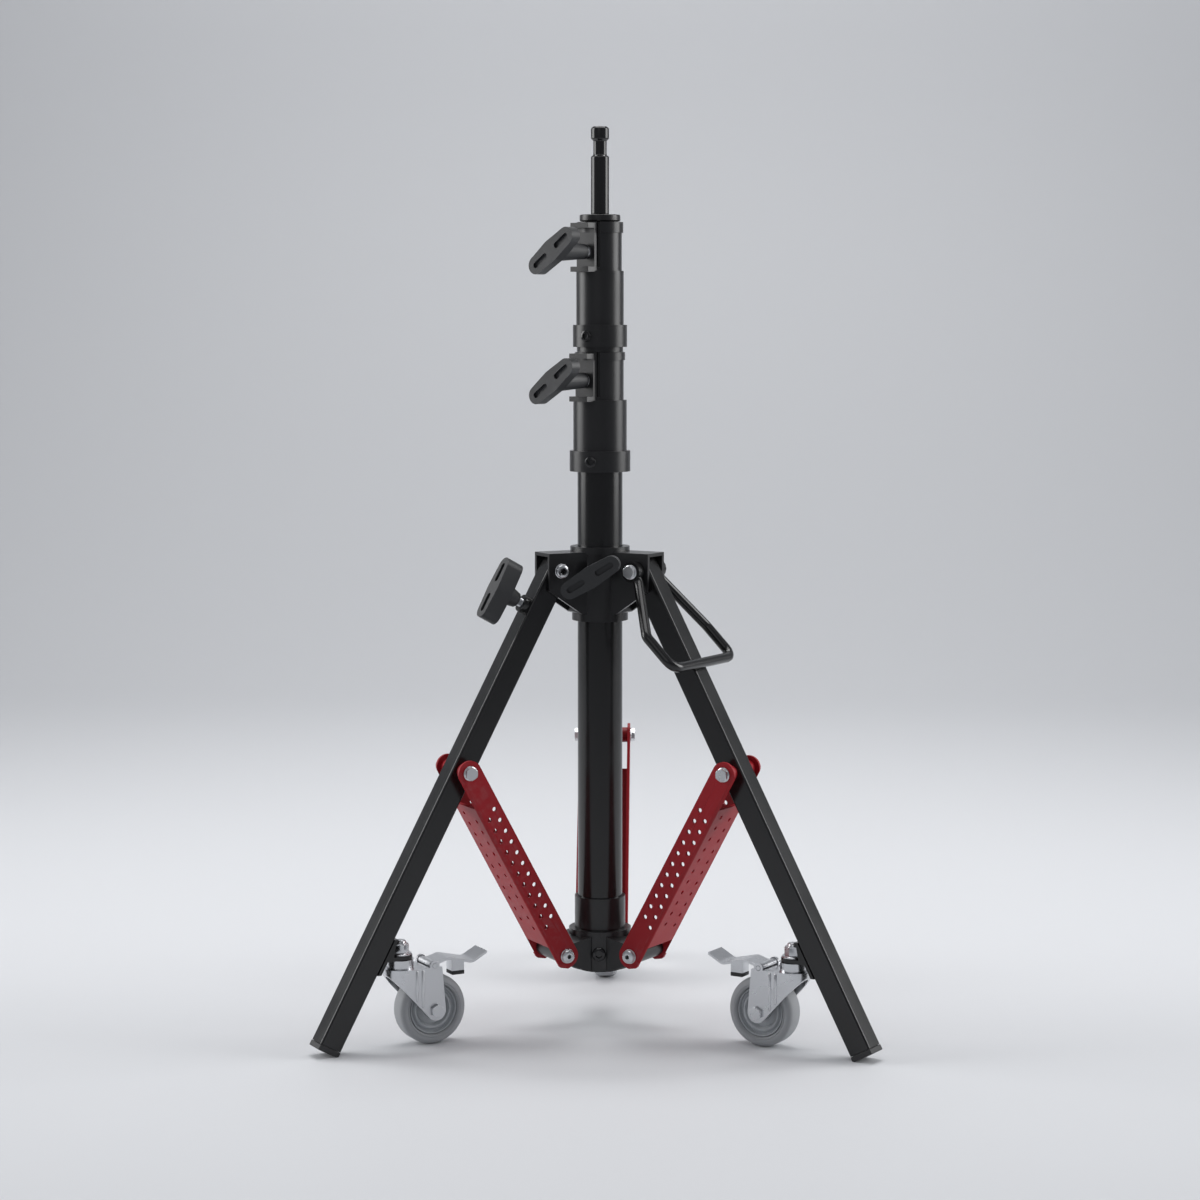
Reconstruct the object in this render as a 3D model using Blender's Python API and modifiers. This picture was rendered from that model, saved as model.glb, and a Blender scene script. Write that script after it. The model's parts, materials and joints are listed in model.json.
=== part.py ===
"""A roller lighting stand: a column with two risers, and three folding legs on braked casters.

Metres, +Z up, standing on z = 0. The origin is on the floor under the middle of the stand's box.
Each leg is modelled in a spoke frame: x runs outwards from the column's axis, y is sideways and z is up.
"""

import math

import bmesh
import bpy
from mathutils import Matrix, Vector

# General fits and roundness
CLEARANCE = 0.0003
ROUND = 32
SMALL_ROUND = 16
SCREW_DIAMETER = 0.008
BOLT_HEAD_DIAMETER = 0.013
BOLT_HEAD_HEIGHT = 0.0042
BOLT_CROWN_DIAMETER = 0.0104

# Column and risers
COLUMN_DIAMETER = 0.040
COLUMN_WALL = 0.0015
COLUMN_BOTTOM = 0.048
COLUMN_LENGTH = 0.510
RISER_PLAY = 0.0015
RISER_1_WALL = 0.0015
RISER_1_ABOVE_COLUMN_FOOT = 0.062
RISER_2_WALL = 0.0015
RISER_2_ABOVE_RISER_1_FOOT = 0.080
BUSH_FLANGE = 0.008
BUSH_SPIGOT = 0.014
BUSH_WALL = 0.003

# Clamps: collar below, sleeve on the tube, split casting above, lip on top
SLEEVE_ABOVE_TUBE = 0.0028
COLUMN_COLLAR_WALL = 0.007
COLUMN_COLLAR_HEIGHT = 0.0183
COLUMN_SLEEVE_WALL = 0.00375
COLUMN_SLEEVE_HEIGHT = 0.0448
COLUMN_CASTING_WALL = 0.004
COLUMN_CASTING_HEIGHT = 0.0352
COLUMN_LIP_WALL = 0.00525
COLUMN_LIP_HEIGHT = 0.007
RISER_SKIRT_WALL = 0.0035
RISER_SKIRT_HEIGHT = 0.0043
RISER_COLLAR_WALL = 0.007
RISER_COLLAR_HEIGHT = 0.0194
RISER_SLEEVE_WALL = 0.004
RISER_SLEEVE_HEIGHT = 0.0474
RISER_CASTING_WALL = 0.00525
RISER_CASTING_HEIGHT = 0.0333
RISER_LIP_WALL = 0.0065
RISER_LIP_HEIGHT = 0.0093
CLAMP_SPLIT = 0.003
CLAMP_SPLIT_AZIMUTH = math.radians(-92)
CLAMP_SPLIT_ABOVE_SLEEVE = 0.003
CLAMP_LUG_WIDTH = 0.0205
CLAMP_LUG_REACH = 0.009
CLAMP_LUG_SETBACK = 0.001
CLAMP_LUG_LIP = 0.0045
CLAMP_LUG_FLOOR = 0.0005
CLAMP_KNOB_AZIMUTH = math.radians(-128.1)
CLAMP_KNOB_ROLL = math.radians(-54)

# Top cap and mounting stud
CAP_PAST_RISER = 0.004
CAP_HEIGHT = 0.006
CAP_SPIGOT = 0.017
STUD_DIAMETER = 0.016
STUD_SHANK_LENGTH = 0.0519
STUD_NECK_DIAMETER = 0.0118
STUD_NECK_LENGTH = 0.0121
STUD_TIP_LENGTH = 0.0126
STUD_CHAMFER = 0.0018
STUD_SPIGOT_DIAMETER = 0.010
STUD_SPIGOT = 0.016

# T-knobs
KNOB_LENGTH = 0.058
KNOB_WIDTH = 0.019
KNOB_END_WIDTH = 0.0155
KNOB_THICKNESS = 0.0105
KNOB_HUB_DIAMETER = 0.018
KNOB_HUB_TIP_DIAMETER = 0.0135
CLAMP_KNOB_HUB = 0.0335
KNOB_SLOT_LENGTH = 0.018
KNOB_SLOT_WIDTH = 0.0052
KNOB_SLOT_DEPTH = 0.0025
KNOB_STUD_SOCKET = 0.013
CLAMP_KNOB_FROM_COLUMN = 0.047

# Yoke, which slides on the column
YOKE_SLEEVE_WALL = 0.005
YOKE_BELOW_CLEVIS = 0.007
YOKE_RING_WALL = 0.0065
YOKE_RING_HEIGHT = 0.0064
YOKE_RING_ABOVE_CLEVIS = 0.004
YOKE_SLIDE_GAP = 0.0004
CLEVIS_ABOVE_HINGE = 0.0157
CLEVIS_CHIN_BELOW_HINGE = 0.0173
CLEVIS_ROOT_BELOW_CHIN = 0.022
CLEVIS_PAST_HINGE = 0.012
CLEVIS_EAR = 0.0032
CLEVIS_ROOF = 0.003
CLEVIS_FLOOR_WALL = 0.002
YOKE_BOSS_DIAMETER = 0.018
YOKE_BOSS_HEIGHT = 0.014
YOKE_KNOB_AZIMUTH = math.radians(-95)
YOKE_KNOB_BELOW_HINGE = 0.0023
YOKE_KNOB_FROM_COLUMN = 0.053
YOKE_KNOB_HUB = 0.022
YOKE_KNOB_ROLL = math.radians(-58)

# Legs
SPOKES = {"rear": math.radians(90), "left": math.radians(210), "right": math.radians(330)}
LEG_TILT = math.radians(28.83)
HINGE_FROM_COLUMN = 0.026
HINGE_HEIGHT = 0.4113
LEG_SIDE = 0.021
LEG_WALL = 0.0015
LEG_ABOVE_HINGE = 0.007
FOOT_CAP_THICKNESS = 0.005
FOOT_CAP_SPIGOT = 0.015
FOOT_FLAT_DEPTH = 0.001
LEVEL_TRAVEL = 0.040
LEVEL_BAR_WALL = 0.002
LEVEL_KNOB_BELOW_HINGE = 0.040
LEVEL_KNOB_REACH = 0.047
LEVEL_KNOB_THICKNESS = 0.016
LEVEL_KNOB_HUB = 0.010
LEVEL_BOSS_DIAMETER = 0.016
LEVEL_BOSS_HEIGHT = 0.005

# Braces and the collar that carries their lower ends
BRACE_FOOT_ABOVE_COLLAR = 0.0173
BRACE_WIDTH = 0.048
BRACE_SHEET = 0.0025
BRACE_HALF_DEPTH = 0.011
BRACE_WEB_BELOW_TOP = 0.031
BRACE_WEB_ABOVE_FOOT = 0.016
BRACE_BUSH_DIAMETER = 0.014
BRACE_SIDE_GAP = 0.0005
COLLAR_SLEEVE_WALL = 0.0028
COLLAR_SLEEVE_HEIGHT = 0.029
COLLAR_BODY_WALL = 0.008
COLLAR_BODY_HEIGHT = 0.035
COLLAR_ABOVE_COLUMN_FOOT = 0.003
COLLAR_ARM_HEIGHT = 0.016
COLLAR_SLOT_PLAY = 0.0012

# Carry handle on the right hinge bolt
HANDLE_DIAMETER = 0.009
HANDLE_EYE_DIAMETER = 0.018
HANDLE_HALF_WIDTH = 0.052
HANDLE_ARM = 0.062
HANDLE_RISE = 0.0375
HANDLE_RISE_TILT = math.radians(46)
HANDLE_FLARE_START = 0.010
HANDLE_CORNER = 0.010
HANDLE_REST_GAP = 0.0004

# Casters
KINGPIN_FROM_LEG = 0.01827
KINGPIN_DIAMETER = 0.010
KINGPIN_NUT_DIAMETER = 0.015
KINGPIN_NUT_HEIGHT = 0.0085
KINGPIN_WASHER_DIAMETER = 0.020
KINGPIN_WASHER_HEIGHT = 0.0015
KINGPIN_TIP_HEIGHT = 0.0025
KINGPIN_FOOT_HEIGHT = 0.0025
BRACKET_PLATE = 0.0035
BRACKET_FLANGE = 0.003
BRACKET_FLANGE_ABOVE_PLATE = 0.0155
BRACKET_FLANGE_BELOW_PLATE = 0.011
BRACKET_GUSSET_HEIGHT = 0.011
BRACKET_GUSSET_START = 0.0105
BRACKET_GUSSET = 0.0025
RACE_DIAMETER = 0.024
RACE_HEIGHT = 0.008
CROWN_ABOVE_TYRE = 0.0035
FORK_CROWN = 0.004
FORK_CROWN_BACK = 0.021
FORK_SHEET = 0.0025
FORK_FRONT_DEPTH = 0.0045
FORK_BACK = 0.033
FORK_EYE = 0.009
WHEEL_TRAIL = 0.0274
WHEEL_DIAMETER = 0.062
WHEEL_LIFT = 0.0005
WHEEL_SIDE_GAP = 0.002
TYRE_WIDTH = 0.022
TYRE_SHOULDER = 0.004
RIM_DIAMETER = 0.044
RIM_WIDTH = 0.018
RIM_LIP = 0.003
RIM_DISC = 0.007
HUB_DIAMETER = 0.016
AXLE_DIAMETER = 0.008
AXLE_HEAD_DIAMETER = 0.012
AXLE_HEAD_HEIGHT = 0.003
PEDAL_PIVOT_BACK = 0.026
PEDAL_PIVOT_ABOVE_CROWN = 0.0015
PEDAL_KNUCKLE_DIAMETER = 0.007
PEDAL_PIN_DIAMETER = 0.004
PEDAL_TAB_RADIUS = 0.0045
PEDAL_SHEET = 0.0022
PEDAL_WIDTH = 0.024
PEDAL_BEND = 0.008
PEDAL_CREST_BACK = 0.041
PEDAL_CREST_ABOVE_CROWN = 0.0058
PEDAL_DIP_BACK = 0.064
PEDAL_DIP_ABOVE_CROWN = 0.0002
PEDAL_TIP_BACK = 0.078
PEDAL_TIP_ABOVE_CROWN = 0.0078
PAD_FRONT = 0.047
PAD_BACK = 0.0585
PAD_BELOW_CROWN = 0.011

# Places worked out from the sizes above
COLUMN_RADIUS = COLUMN_DIAMETER / 2
RISER_1_DIAMETER = COLUMN_DIAMETER - 2 * (COLUMN_WALL + RISER_PLAY)
RISER_2_DIAMETER = RISER_1_DIAMETER - 2 * (RISER_1_WALL + RISER_PLAY)
COLUMN_COLLAR_DIAMETER = COLUMN_DIAMETER + 2 * COLUMN_COLLAR_WALL
COLUMN_SLEEVE_DIAMETER = COLUMN_DIAMETER + 2 * COLUMN_SLEEVE_WALL
COLUMN_CASTING_DIAMETER = RISER_1_DIAMETER + 2 * COLUMN_CASTING_WALL
COLUMN_LIP_DIAMETER = RISER_1_DIAMETER + 2 * COLUMN_LIP_WALL
RISER_SKIRT_DIAMETER = RISER_1_DIAMETER + 2 * RISER_SKIRT_WALL
RISER_COLLAR_DIAMETER = RISER_1_DIAMETER + 2 * RISER_COLLAR_WALL
RISER_SLEEVE_DIAMETER = RISER_1_DIAMETER + 2 * RISER_SLEEVE_WALL
RISER_CASTING_DIAMETER = RISER_2_DIAMETER + 2 * RISER_CASTING_WALL
RISER_LIP_DIAMETER = RISER_2_DIAMETER + 2 * RISER_LIP_WALL
CAP_DIAMETER = RISER_2_DIAMETER + 2 * CAP_PAST_RISER
YOKE_SLEEVE_DIAMETER = COLUMN_DIAMETER + 2 * YOKE_SLEEVE_WALL
YOKE_RING_DIAMETER = COLUMN_DIAMETER + 2 * YOKE_RING_WALL
COLLAR_SLEEVE_DIAMETER = COLUMN_DIAMETER + 2 * COLLAR_SLEEVE_WALL
COLLAR_BODY_DIAMETER = COLUMN_DIAMETER + 2 * COLLAR_BODY_WALL
HINGE_RADIUS = COLUMN_RADIUS + HINGE_FROM_COLUMN
YOKE_BOSS_REACH = COLUMN_RADIUS + YOKE_BOSS_HEIGHT
YOKE_KNOB_REACH = COLUMN_RADIUS + YOKE_KNOB_FROM_COLUMN
CLAMP_KNOB_REACH = COLUMN_RADIUS + CLAMP_KNOB_FROM_COLUMN
COLUMN_TOP = COLUMN_BOTTOM + COLUMN_LENGTH
COLUMN_SLEEVE_TOP = COLUMN_TOP + SLEEVE_ABOVE_TUBE
COLUMN_COLLAR_TOP = COLUMN_SLEEVE_TOP - COLUMN_SLEEVE_HEIGHT
COLUMN_COLLAR_BOTTOM = COLUMN_COLLAR_TOP - COLUMN_COLLAR_HEIGHT
COLUMN_LIP_BOTTOM = COLUMN_SLEEVE_TOP + COLUMN_CASTING_HEIGHT
COLUMN_LIP_TOP = COLUMN_LIP_BOTTOM + COLUMN_LIP_HEIGHT
RISER_SKIRT_BOTTOM = COLUMN_LIP_TOP + CLEARANCE
RISER_COLLAR_BOTTOM = RISER_SKIRT_BOTTOM + RISER_SKIRT_HEIGHT
RISER_COLLAR_TOP = RISER_COLLAR_BOTTOM + RISER_COLLAR_HEIGHT
RISER_SLEEVE_TOP = RISER_COLLAR_TOP + RISER_SLEEVE_HEIGHT
RISER_LIP_BOTTOM = RISER_SLEEVE_TOP + RISER_CASTING_HEIGHT
RISER_LIP_TOP = RISER_LIP_BOTTOM + RISER_LIP_HEIGHT
RISER_1_TOP = RISER_SLEEVE_TOP - SLEEVE_ABOVE_TUBE
RISER_1_BOTTOM = COLUMN_BOTTOM + RISER_1_ABOVE_COLUMN_FOOT
RISER_2_TOP = RISER_LIP_TOP + CLEARANCE
RISER_2_BOTTOM = RISER_1_BOTTOM + RISER_2_ABOVE_RISER_1_FOOT
CLEVIS_TOP = HINGE_HEIGHT + CLEVIS_ABOVE_HINGE
CLEVIS_CHIN = HINGE_HEIGHT - CLEVIS_CHIN_BELOW_HINGE
CLEVIS_ROOT = CLEVIS_CHIN - CLEVIS_ROOT_BELOW_CHIN
CLEVIS_REACH = HINGE_RADIUS + CLEVIS_PAST_HINGE
CLEVIS_SLOT_FLOOR = YOKE_SLEEVE_DIAMETER / 2 + CLEVIS_FLOOR_WALL
YOKE_BOTTOM = CLEVIS_ROOT - YOKE_BELOW_CLEVIS
YOKE_RING_TOP = CLEVIS_TOP + YOKE_RING_ABOVE_CLEVIS
YOKE_RING_BOTTOM = YOKE_RING_TOP - YOKE_RING_HEIGHT
YOKE_KNOB_HEIGHT = HINGE_HEIGHT - YOKE_KNOB_BELOW_HINGE
COLLAR_BOTTOM = COLUMN_BOTTOM + COLLAR_ABOVE_COLUMN_FOOT
COLLAR_SHOULDER = COLLAR_BOTTOM + COLLAR_BODY_HEIGHT
COLLAR_TOP = COLLAR_SHOULDER + COLLAR_SLEEVE_HEIGHT
BRACE_FOOT_HEIGHT = COLLAR_BOTTOM + BRACE_FOOT_ABOVE_COLLAR
FORK_CROWN_LOW = WHEEL_LIFT + WHEEL_DIAMETER + CROWN_ABOVE_TYRE
FORK_CROWN_TOP = FORK_CROWN_LOW + FORK_CROWN
BRACKET_LOW = FORK_CROWN_TOP + RACE_HEIGHT
BRACKET_TOP = BRACKET_LOW + BRACKET_PLATE
PEDAL_PIVOT_HEIGHT = FORK_CROWN_TOP + PEDAL_PIVOT_ABOVE_CROWN
LEG_HALF = LEG_SIDE / 2
LEG_ACROSS = math.cos(LEG_TILT)
LEG_OUT = math.sin(LEG_TILT)
LEG_LENGTH = (HINGE_HEIGHT + FOOT_FLAT_DEPTH - LEG_HALF * LEG_OUT) / LEG_ACROSS
BRACE_LENGTH = (HINGE_HEIGHT - BRACE_FOOT_HEIGHT) / (2 * LEG_ACROSS)
LEG_AT_BRACKET = HINGE_RADIUS + (HINGE_HEIGHT - BRACKET_TOP) * LEG_OUT / LEG_ACROSS
KINGPIN_RADIUS = LEG_AT_BRACKET - LEG_HALF / LEG_ACROSS - KINGPIN_FROM_LEG
HINGE = Vector((HINGE_RADIUS, 0, HINGE_HEIGHT))
BRACE_TOP = HINGE + BRACE_LENGTH * Vector((LEG_OUT, 0, -LEG_ACROSS))
BRACE_FOOT = Vector((HINGE_RADIUS, 0, BRACE_FOOT_HEIGHT))
AXLE = Vector((KINGPIN_RADIUS - WHEEL_TRAIL, 0, WHEEL_DIAMETER / 2 + WHEEL_LIFT))
KINGPIN = Vector((KINGPIN_RADIUS, 0, FORK_CROWN_TOP))
PEDAL_PIVOT = Vector((KINGPIN_RADIUS - PEDAL_PIVOT_BACK, 0, PEDAL_PIVOT_HEIGHT))
FOOT_REACH = HINGE_RADIUS + LEG_LENGTH * LEG_OUT + LEG_HALF * LEG_ACROSS
FRONT_REACH = FOOT_REACH / 2 + LEG_HALF * math.cos(math.radians(30))
AXIS_Y = (FRONT_REACH - FOOT_REACH) / 2
LEG_FRAME = Matrix.Translation(HINGE) @ Matrix.Rotation(-LEG_TILT, 4, "Y")
BRACE_FRAME = Matrix.Translation(BRACE_TOP) @ Matrix.Rotation(LEG_TILT, 4, "Y")
CLEVIS_HALF = LEG_HALF + CLEARANCE + CLEVIS_EAR
BRACE_INNER_HALF = BRACE_WIDTH / 2 - BRACE_SHEET
FORK_INNER_HALF = TYRE_WIDTH / 2 + WHEEL_SIDE_GAP
FORK_HALF = FORK_INNER_HALF + FORK_SHEET
FAR = 1.0

for leftover in list(bpy.data.objects):
    bpy.data.objects.remove(leftover)
stand = bpy.data.collections.new("roller_lighting_stand")
bench = bpy.data.collections.new("bench")
for collection in (stand, bench):
    bpy.context.scene.collection.children.link(collection)


def material(name, colour, roughness, metallic):
    made = bpy.data.materials.new(name)
    made.use_nodes = True
    shader = made.node_tree.nodes["Principled BSDF"]
    shader.inputs["Base Color"].default_value = (*colour, 1)
    shader.inputs["Roughness"].default_value = roughness
    shader.inputs["Metallic"].default_value = metallic
    return made


BLACK_PAINT = material("satin_black_paint", (0.012, 0.012, 0.013), 0.35, 0.0)
CASTING = material("charcoal_casting", (0.022, 0.022, 0.024), 0.5, 0.0)
GLOSS_BLACK = material("gloss_black", (0.010, 0.010, 0.011), 0.15, 0.3)
RED_PAINT = material("red_paint", (0.25, 0.012, 0.018), 0.4, 0.0)
ZINC = material("zinc_plate", (0.62, 0.63, 0.65), 0.3, 1.0)
KNOB_PLASTIC = material("dark_plastic", (0.03, 0.03, 0.033), 0.55, 0.0)
CAP_PLASTIC = material("black_plastic", (0.015, 0.015, 0.016), 0.6, 0.0)
BUSH_PLASTIC = material("pale_plastic", (0.6, 0.6, 0.58), 0.5, 0.0)
TYRE_RUBBER = material("grey_rubber", (0.16, 0.17, 0.18), 0.75, 0.0)
RIM_PLASTIC = material("grey_plastic", (0.32, 0.34, 0.36), 0.5, 0.0)


def on_bench(data):
    """A helper object that holds a shape while it is worked on."""
    obj = bpy.data.objects.new("helper", data)
    obj.hide_render = True
    obj.display_type = "WIRE"
    bench.objects.link(obj)
    return obj


def baked(obj):
    """The mesh that an object's modifiers or curve settings give, welded. The object is removed."""
    bpy.context.view_layer.update()
    graph = bpy.context.evaluated_depsgraph_get()
    mesh = bpy.data.meshes.new_from_object(obj.evaluated_get(graph))
    bpy.data.objects.remove(obj)
    form = bmesh.new()
    form.from_mesh(mesh)
    bmesh.ops.remove_doubles(form, verts=form.verts, dist=1e-6)
    bmesh.ops.recalc_face_normals(form, faces=form.faces)
    form.to_mesh(mesh)
    form.free()
    return mesh


def combined(operation, base, others):
    """Joins shapes to a base, or cuts them from it, with Boolean modifiers."""
    target = on_bench(base)
    helpers = [on_bench(other) for other in others]
    for helper in helpers:
        boolean = target.modifiers.new("shape", "BOOLEAN")
        boolean.operation = operation
        boolean.object = helper
    mesh = baked(target)
    for helper in helpers:
        bpy.data.objects.remove(helper)
    return mesh


def joined(base, *others):
    return combined("UNION", base, others)


def cut(base, *others):
    return combined("DIFFERENCE", base, others)


def shared(base, *others):
    return combined("INTERSECT", base, others)


def moved(mesh, matrix):
    mesh.transform(matrix)
    return mesh


def turned_about_z(mesh, angle):
    return moved(mesh, Matrix.Rotation(angle, 4, "Z"))


def box(x, y, z):
    """A box from its lowest and highest x, y and z."""
    mesh = bpy.data.meshes.new("box")
    form = bmesh.new()
    size = Matrix.Diagonal((x[1] - x[0], y[1] - y[0], z[1] - z[0], 1))
    centre = Matrix.Translation((sum(x) / 2, sum(y) / 2, sum(z) / 2))
    bmesh.ops.create_cube(form, size=1, matrix=centre @ size)
    form.to_mesh(mesh)
    form.free()
    return mesh


def turned(points, closed=False, sides=ROUND):
    """A turned shape about Z from (radius, height) points, listed down its outer side."""
    mesh = bpy.data.meshes.new("profile")
    count = len(points)
    edges = [(i, (i + 1) % count) for i in range(count if closed else count - 1)]
    mesh.from_pydata([(radius, 0, height) for radius, height in points], edges, [])
    obj = on_bench(mesh)
    screw = obj.modifiers.new("turn", "SCREW")
    screw.steps = sides
    screw.render_steps = sides
    screw.use_merge_vertices = True
    screw.merge_threshold = 0.00001
    return baked(obj)


def cylinder(diameter, bottom, top, sides=ROUND):
    radius = diameter / 2
    return turned([(0, top), (radius, top), (radius, bottom), (0, bottom)], sides=sides)


def tube(outer, inner, bottom, top):
    outer_radius = outer / 2
    inner_radius = inner / 2
    corners = [(outer_radius, top), (outer_radius, bottom), (inner_radius, bottom), (inner_radius, top)]
    return turned(corners, closed=True)


def across(mesh, place):
    """Lays a shape that was turned about Z along Y, at a place."""
    return moved(mesh, Matrix.Translation(place) @ Matrix.Rotation(-math.pi / 2, 4, "X"))


def along_x(mesh):
    """Lays a shape that was turned about Z along X."""
    return moved(mesh, Matrix.Rotation(math.pi / 2, 4, "Y"))


def cross_hole(diameter, place, half_length=FAR, sides=SMALL_ROUND):
    return across(cylinder(diameter + 2 * CLEARANCE, -half_length, half_length, sides), place)


def slab(outline, bottom, top):
    """A flat outline of (x, y) points, from one height to another."""
    curve = bpy.data.curves.new("outline", "CURVE")
    curve.dimensions = "2D"
    curve.fill_mode = "BOTH"
    curve.extrude = (top - bottom) / 2
    spline = curve.splines.new("POLY")
    spline.points.add(len(outline) - 1)
    spline.use_cyclic_u = True
    for point, (x, y) in zip(spline.points, outline):
        point.co = (x, y, 0, 1)
    return moved(baked(on_bench(curve)), Matrix.Translation((0, 0, (bottom + top) / 2)))


def plate(outline, near, far):
    """A flat outline of (x, z) points, from y = near to y = far."""
    return moved(slab(outline, -far, -near), Matrix.Rotation(math.pi / 2, 4, "X"))


def rod(points, diameter):
    """A round rod along a list of points."""
    curve = bpy.data.curves.new("rod", "CURVE")
    curve.dimensions = "3D"
    curve.fill_mode = "FULL"
    curve.bevel_depth = diameter / 2
    curve.bevel_resolution = 4
    curve.use_fill_caps = True
    spline = curve.splines.new("POLY")
    spline.points.add(len(points) - 1)
    for point, place in zip(spline.points, points):
        point.co = (*place, 1)
    return baked(on_bench(curve))


def circle(centre, radius, sides=ROUND):
    """The (x, z) points of a circle."""
    turns = [2 * math.pi * (step + 0.5) / sides for step in range(sides)]
    return [(centre[0] + radius * math.cos(turn), centre[1] + radius * math.sin(turn)) for turn in turns]


def hull(points):
    """The outline round a set of (x, z) points, as a string pulled tight."""
    ordered = sorted(set(points))

    def half(run):
        kept = []
        for point in run:
            while len(kept) > 1 and turn_of(kept[-2], kept[-1], point) <= 0:
                kept.pop()
            kept.append(point)
        return kept[:-1]

    return half(ordered) + half(ordered[::-1])


def turn_of(a, b, c):
    return (b[0] - a[0]) * (c[1] - a[1]) - (b[1] - a[1]) * (c[0] - a[0])


def rounded_path(corners, radius, steps=4):
    """A path through corners, with each inner corner replaced by an arc."""
    path = [corners[0]]
    for before, corner, after in zip(corners, corners[1:], corners[2:]):
        inward = (before - corner).normalized()
        outward = (after - corner).normalized()
        half_angle = inward.angle(outward) / 2
        setback = radius / math.tan(half_angle)
        centre = corner + (inward + outward).normalized() * radius / math.sin(half_angle)
        start = corner + inward * setback - centre
        finish = corner + outward * setback - centre
        arc = [start.slerp(finish, step / steps).normalized() for step in range(steps + 1)]
        path += [centre + spoke * radius for spoke in arc]
    return path + [corners[-1]]


def frame_at(name, angle):
    """An empty on the column's axis, turned so that its x axis points along a spoke."""
    empty = bpy.data.objects.new(name, None)
    empty.location = (0, AXIS_Y, 0)
    empty.rotation_euler = (0, 0, angle)
    stand.objects.link(empty)
    return empty


AXIS = frame_at("column_axis", 0)
SPOKE_FRAMES = {name: frame_at(name + "_spoke", angle) for name, angle in SPOKES.items()}


def smooth(mesh):
    mesh.shade_smooth()
    mesh.set_sharp_from_angle(angle=math.radians(35))


def part(name, mesh, finish, frame=AXIS, pivot=(0, 0, 0)):
    """A finished piece, with its origin at its pivot."""
    mesh.name = name
    mesh.materials.clear()
    mesh.materials.append(finish)
    smooth(mesh)
    obj = bpy.data.objects.new(name, moved(mesh, Matrix.Translation(-Vector(pivot))))
    obj.parent = frame
    obj.location = pivot
    stand.objects.link(obj)
    return obj


def spoke_parts(piece, mesh, finish, pivot, spokes=tuple(SPOKES)):
    """The same piece on several spokes, sharing one mesh."""
    first = part(f"{spokes[0]}_{piece}", mesh, finish, SPOKE_FRAMES[spokes[0]], pivot)
    for spoke in spokes[1:]:
        obj = bpy.data.objects.new(f"{spoke}_{piece}", first.data)
        obj.parent = SPOKE_FRAMES[spoke]
        obj.location = pivot
        stand.objects.link(obj)


def inner_face(height):
    """How far out a leg's inner face is at a height."""
    centre = HINGE_RADIUS + (HINGE_HEIGHT - height) * math.tan(LEG_TILT)
    return centre - LEG_HALF / LEG_ACROSS - CLEARANCE


def pivot_bolt(half_grip, place):
    """A bolt across a spoke, with a round head on one side and a like nut on the other."""
    shank = SCREW_DIAMETER / 2
    head = BOLT_HEAD_DIAMETER / 2
    seat = half_grip + CLEARANCE
    end = seat + BOLT_HEAD_HEIGHT
    crown = BOLT_CROWN_DIAMETER / 2
    upper = [(0, end), (crown, end), (head, end - BOLT_HEAD_HEIGHT / 3), (head, seat), (shank, seat)]
    lower = [(radius, -height) for radius, height in reversed(upper)]
    return across(turned(upper + lower, sides=SMALL_ROUND), place)


def knob(name, frame, pivot, axis_matrix, reach, thickness, hub_length, tip):
    """A T-knob and its threaded stud along +X, with the paddle's face at reach and the stud's end at tip."""
    half = (KNOB_LENGTH - KNOB_END_WIDTH) / 2
    back = reach - thickness
    bow = circle((0, 0), KNOB_WIDTH / 2)
    for end in (-half, half):
        bow += circle((0, end), KNOB_END_WIDTH / 2)
    face_on = Matrix.Rotation(math.pi / 2, 4, "Z")
    paddle = moved(plate(hull(bow), -reach, -back), face_on)
    hub_tip = back - hub_length
    hub = along_x(
        turned(
            [
                (0, back + thickness / 2),
                (KNOB_HUB_DIAMETER / 2, back + thickness / 2),
                (KNOB_HUB_DIAMETER / 2, back),
                (KNOB_HUB_TIP_DIAMETER / 2, hub_tip),
                (0, hub_tip),
            ],
            sides=SMALL_ROUND,
        )
    )
    slots = []
    for side in (-1, 1):
        middle = side * KNOB_LENGTH / 4
        slot_half = (KNOB_SLOT_LENGTH - KNOB_SLOT_WIDTH) / 2
        ends = [circle((0, middle + end * slot_half), KNOB_SLOT_WIDTH / 2, SMALL_ROUND) for end in (-1, 1)]
        recess = plate(hull(ends[0] + ends[1]), -reach - CLEARANCE, -reach + KNOB_SLOT_DEPTH)
        slots.append(moved(recess, face_on))
    socket_end = hub_tip + KNOB_STUD_SOCKET
    socket = along_x(cylinder(SCREW_DIAMETER + 2 * CLEARANCE, 0, socket_end + CLEARANCE, SMALL_ROUND))
    handle = cut(joined(paddle, hub), socket, *slots)
    stud = along_x(cylinder(SCREW_DIAMETER, tip, socket_end, SMALL_ROUND))
    part(name, moved(handle, axis_matrix), KNOB_PLASTIC, frame, pivot)
    part(name + "_stud", moved(stud, axis_matrix), ZINC, frame, pivot)


def radial_axis(azimuth, height, roll):
    """Places a knob's +X axis along a direction from the column, turned about itself by a roll."""
    turn = Matrix.Rotation(azimuth, 4, "Z") @ Matrix.Rotation(roll, 4, "X")
    return Matrix.Translation((0, 0, height)) @ turn


def screw_hole(azimuth, height):
    hole = along_x(cylinder(SCREW_DIAMETER + 2 * CLEARANCE, 0, FAR, SMALL_ROUND))
    return moved(hole, radial_axis(azimuth, height, 0))


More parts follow.
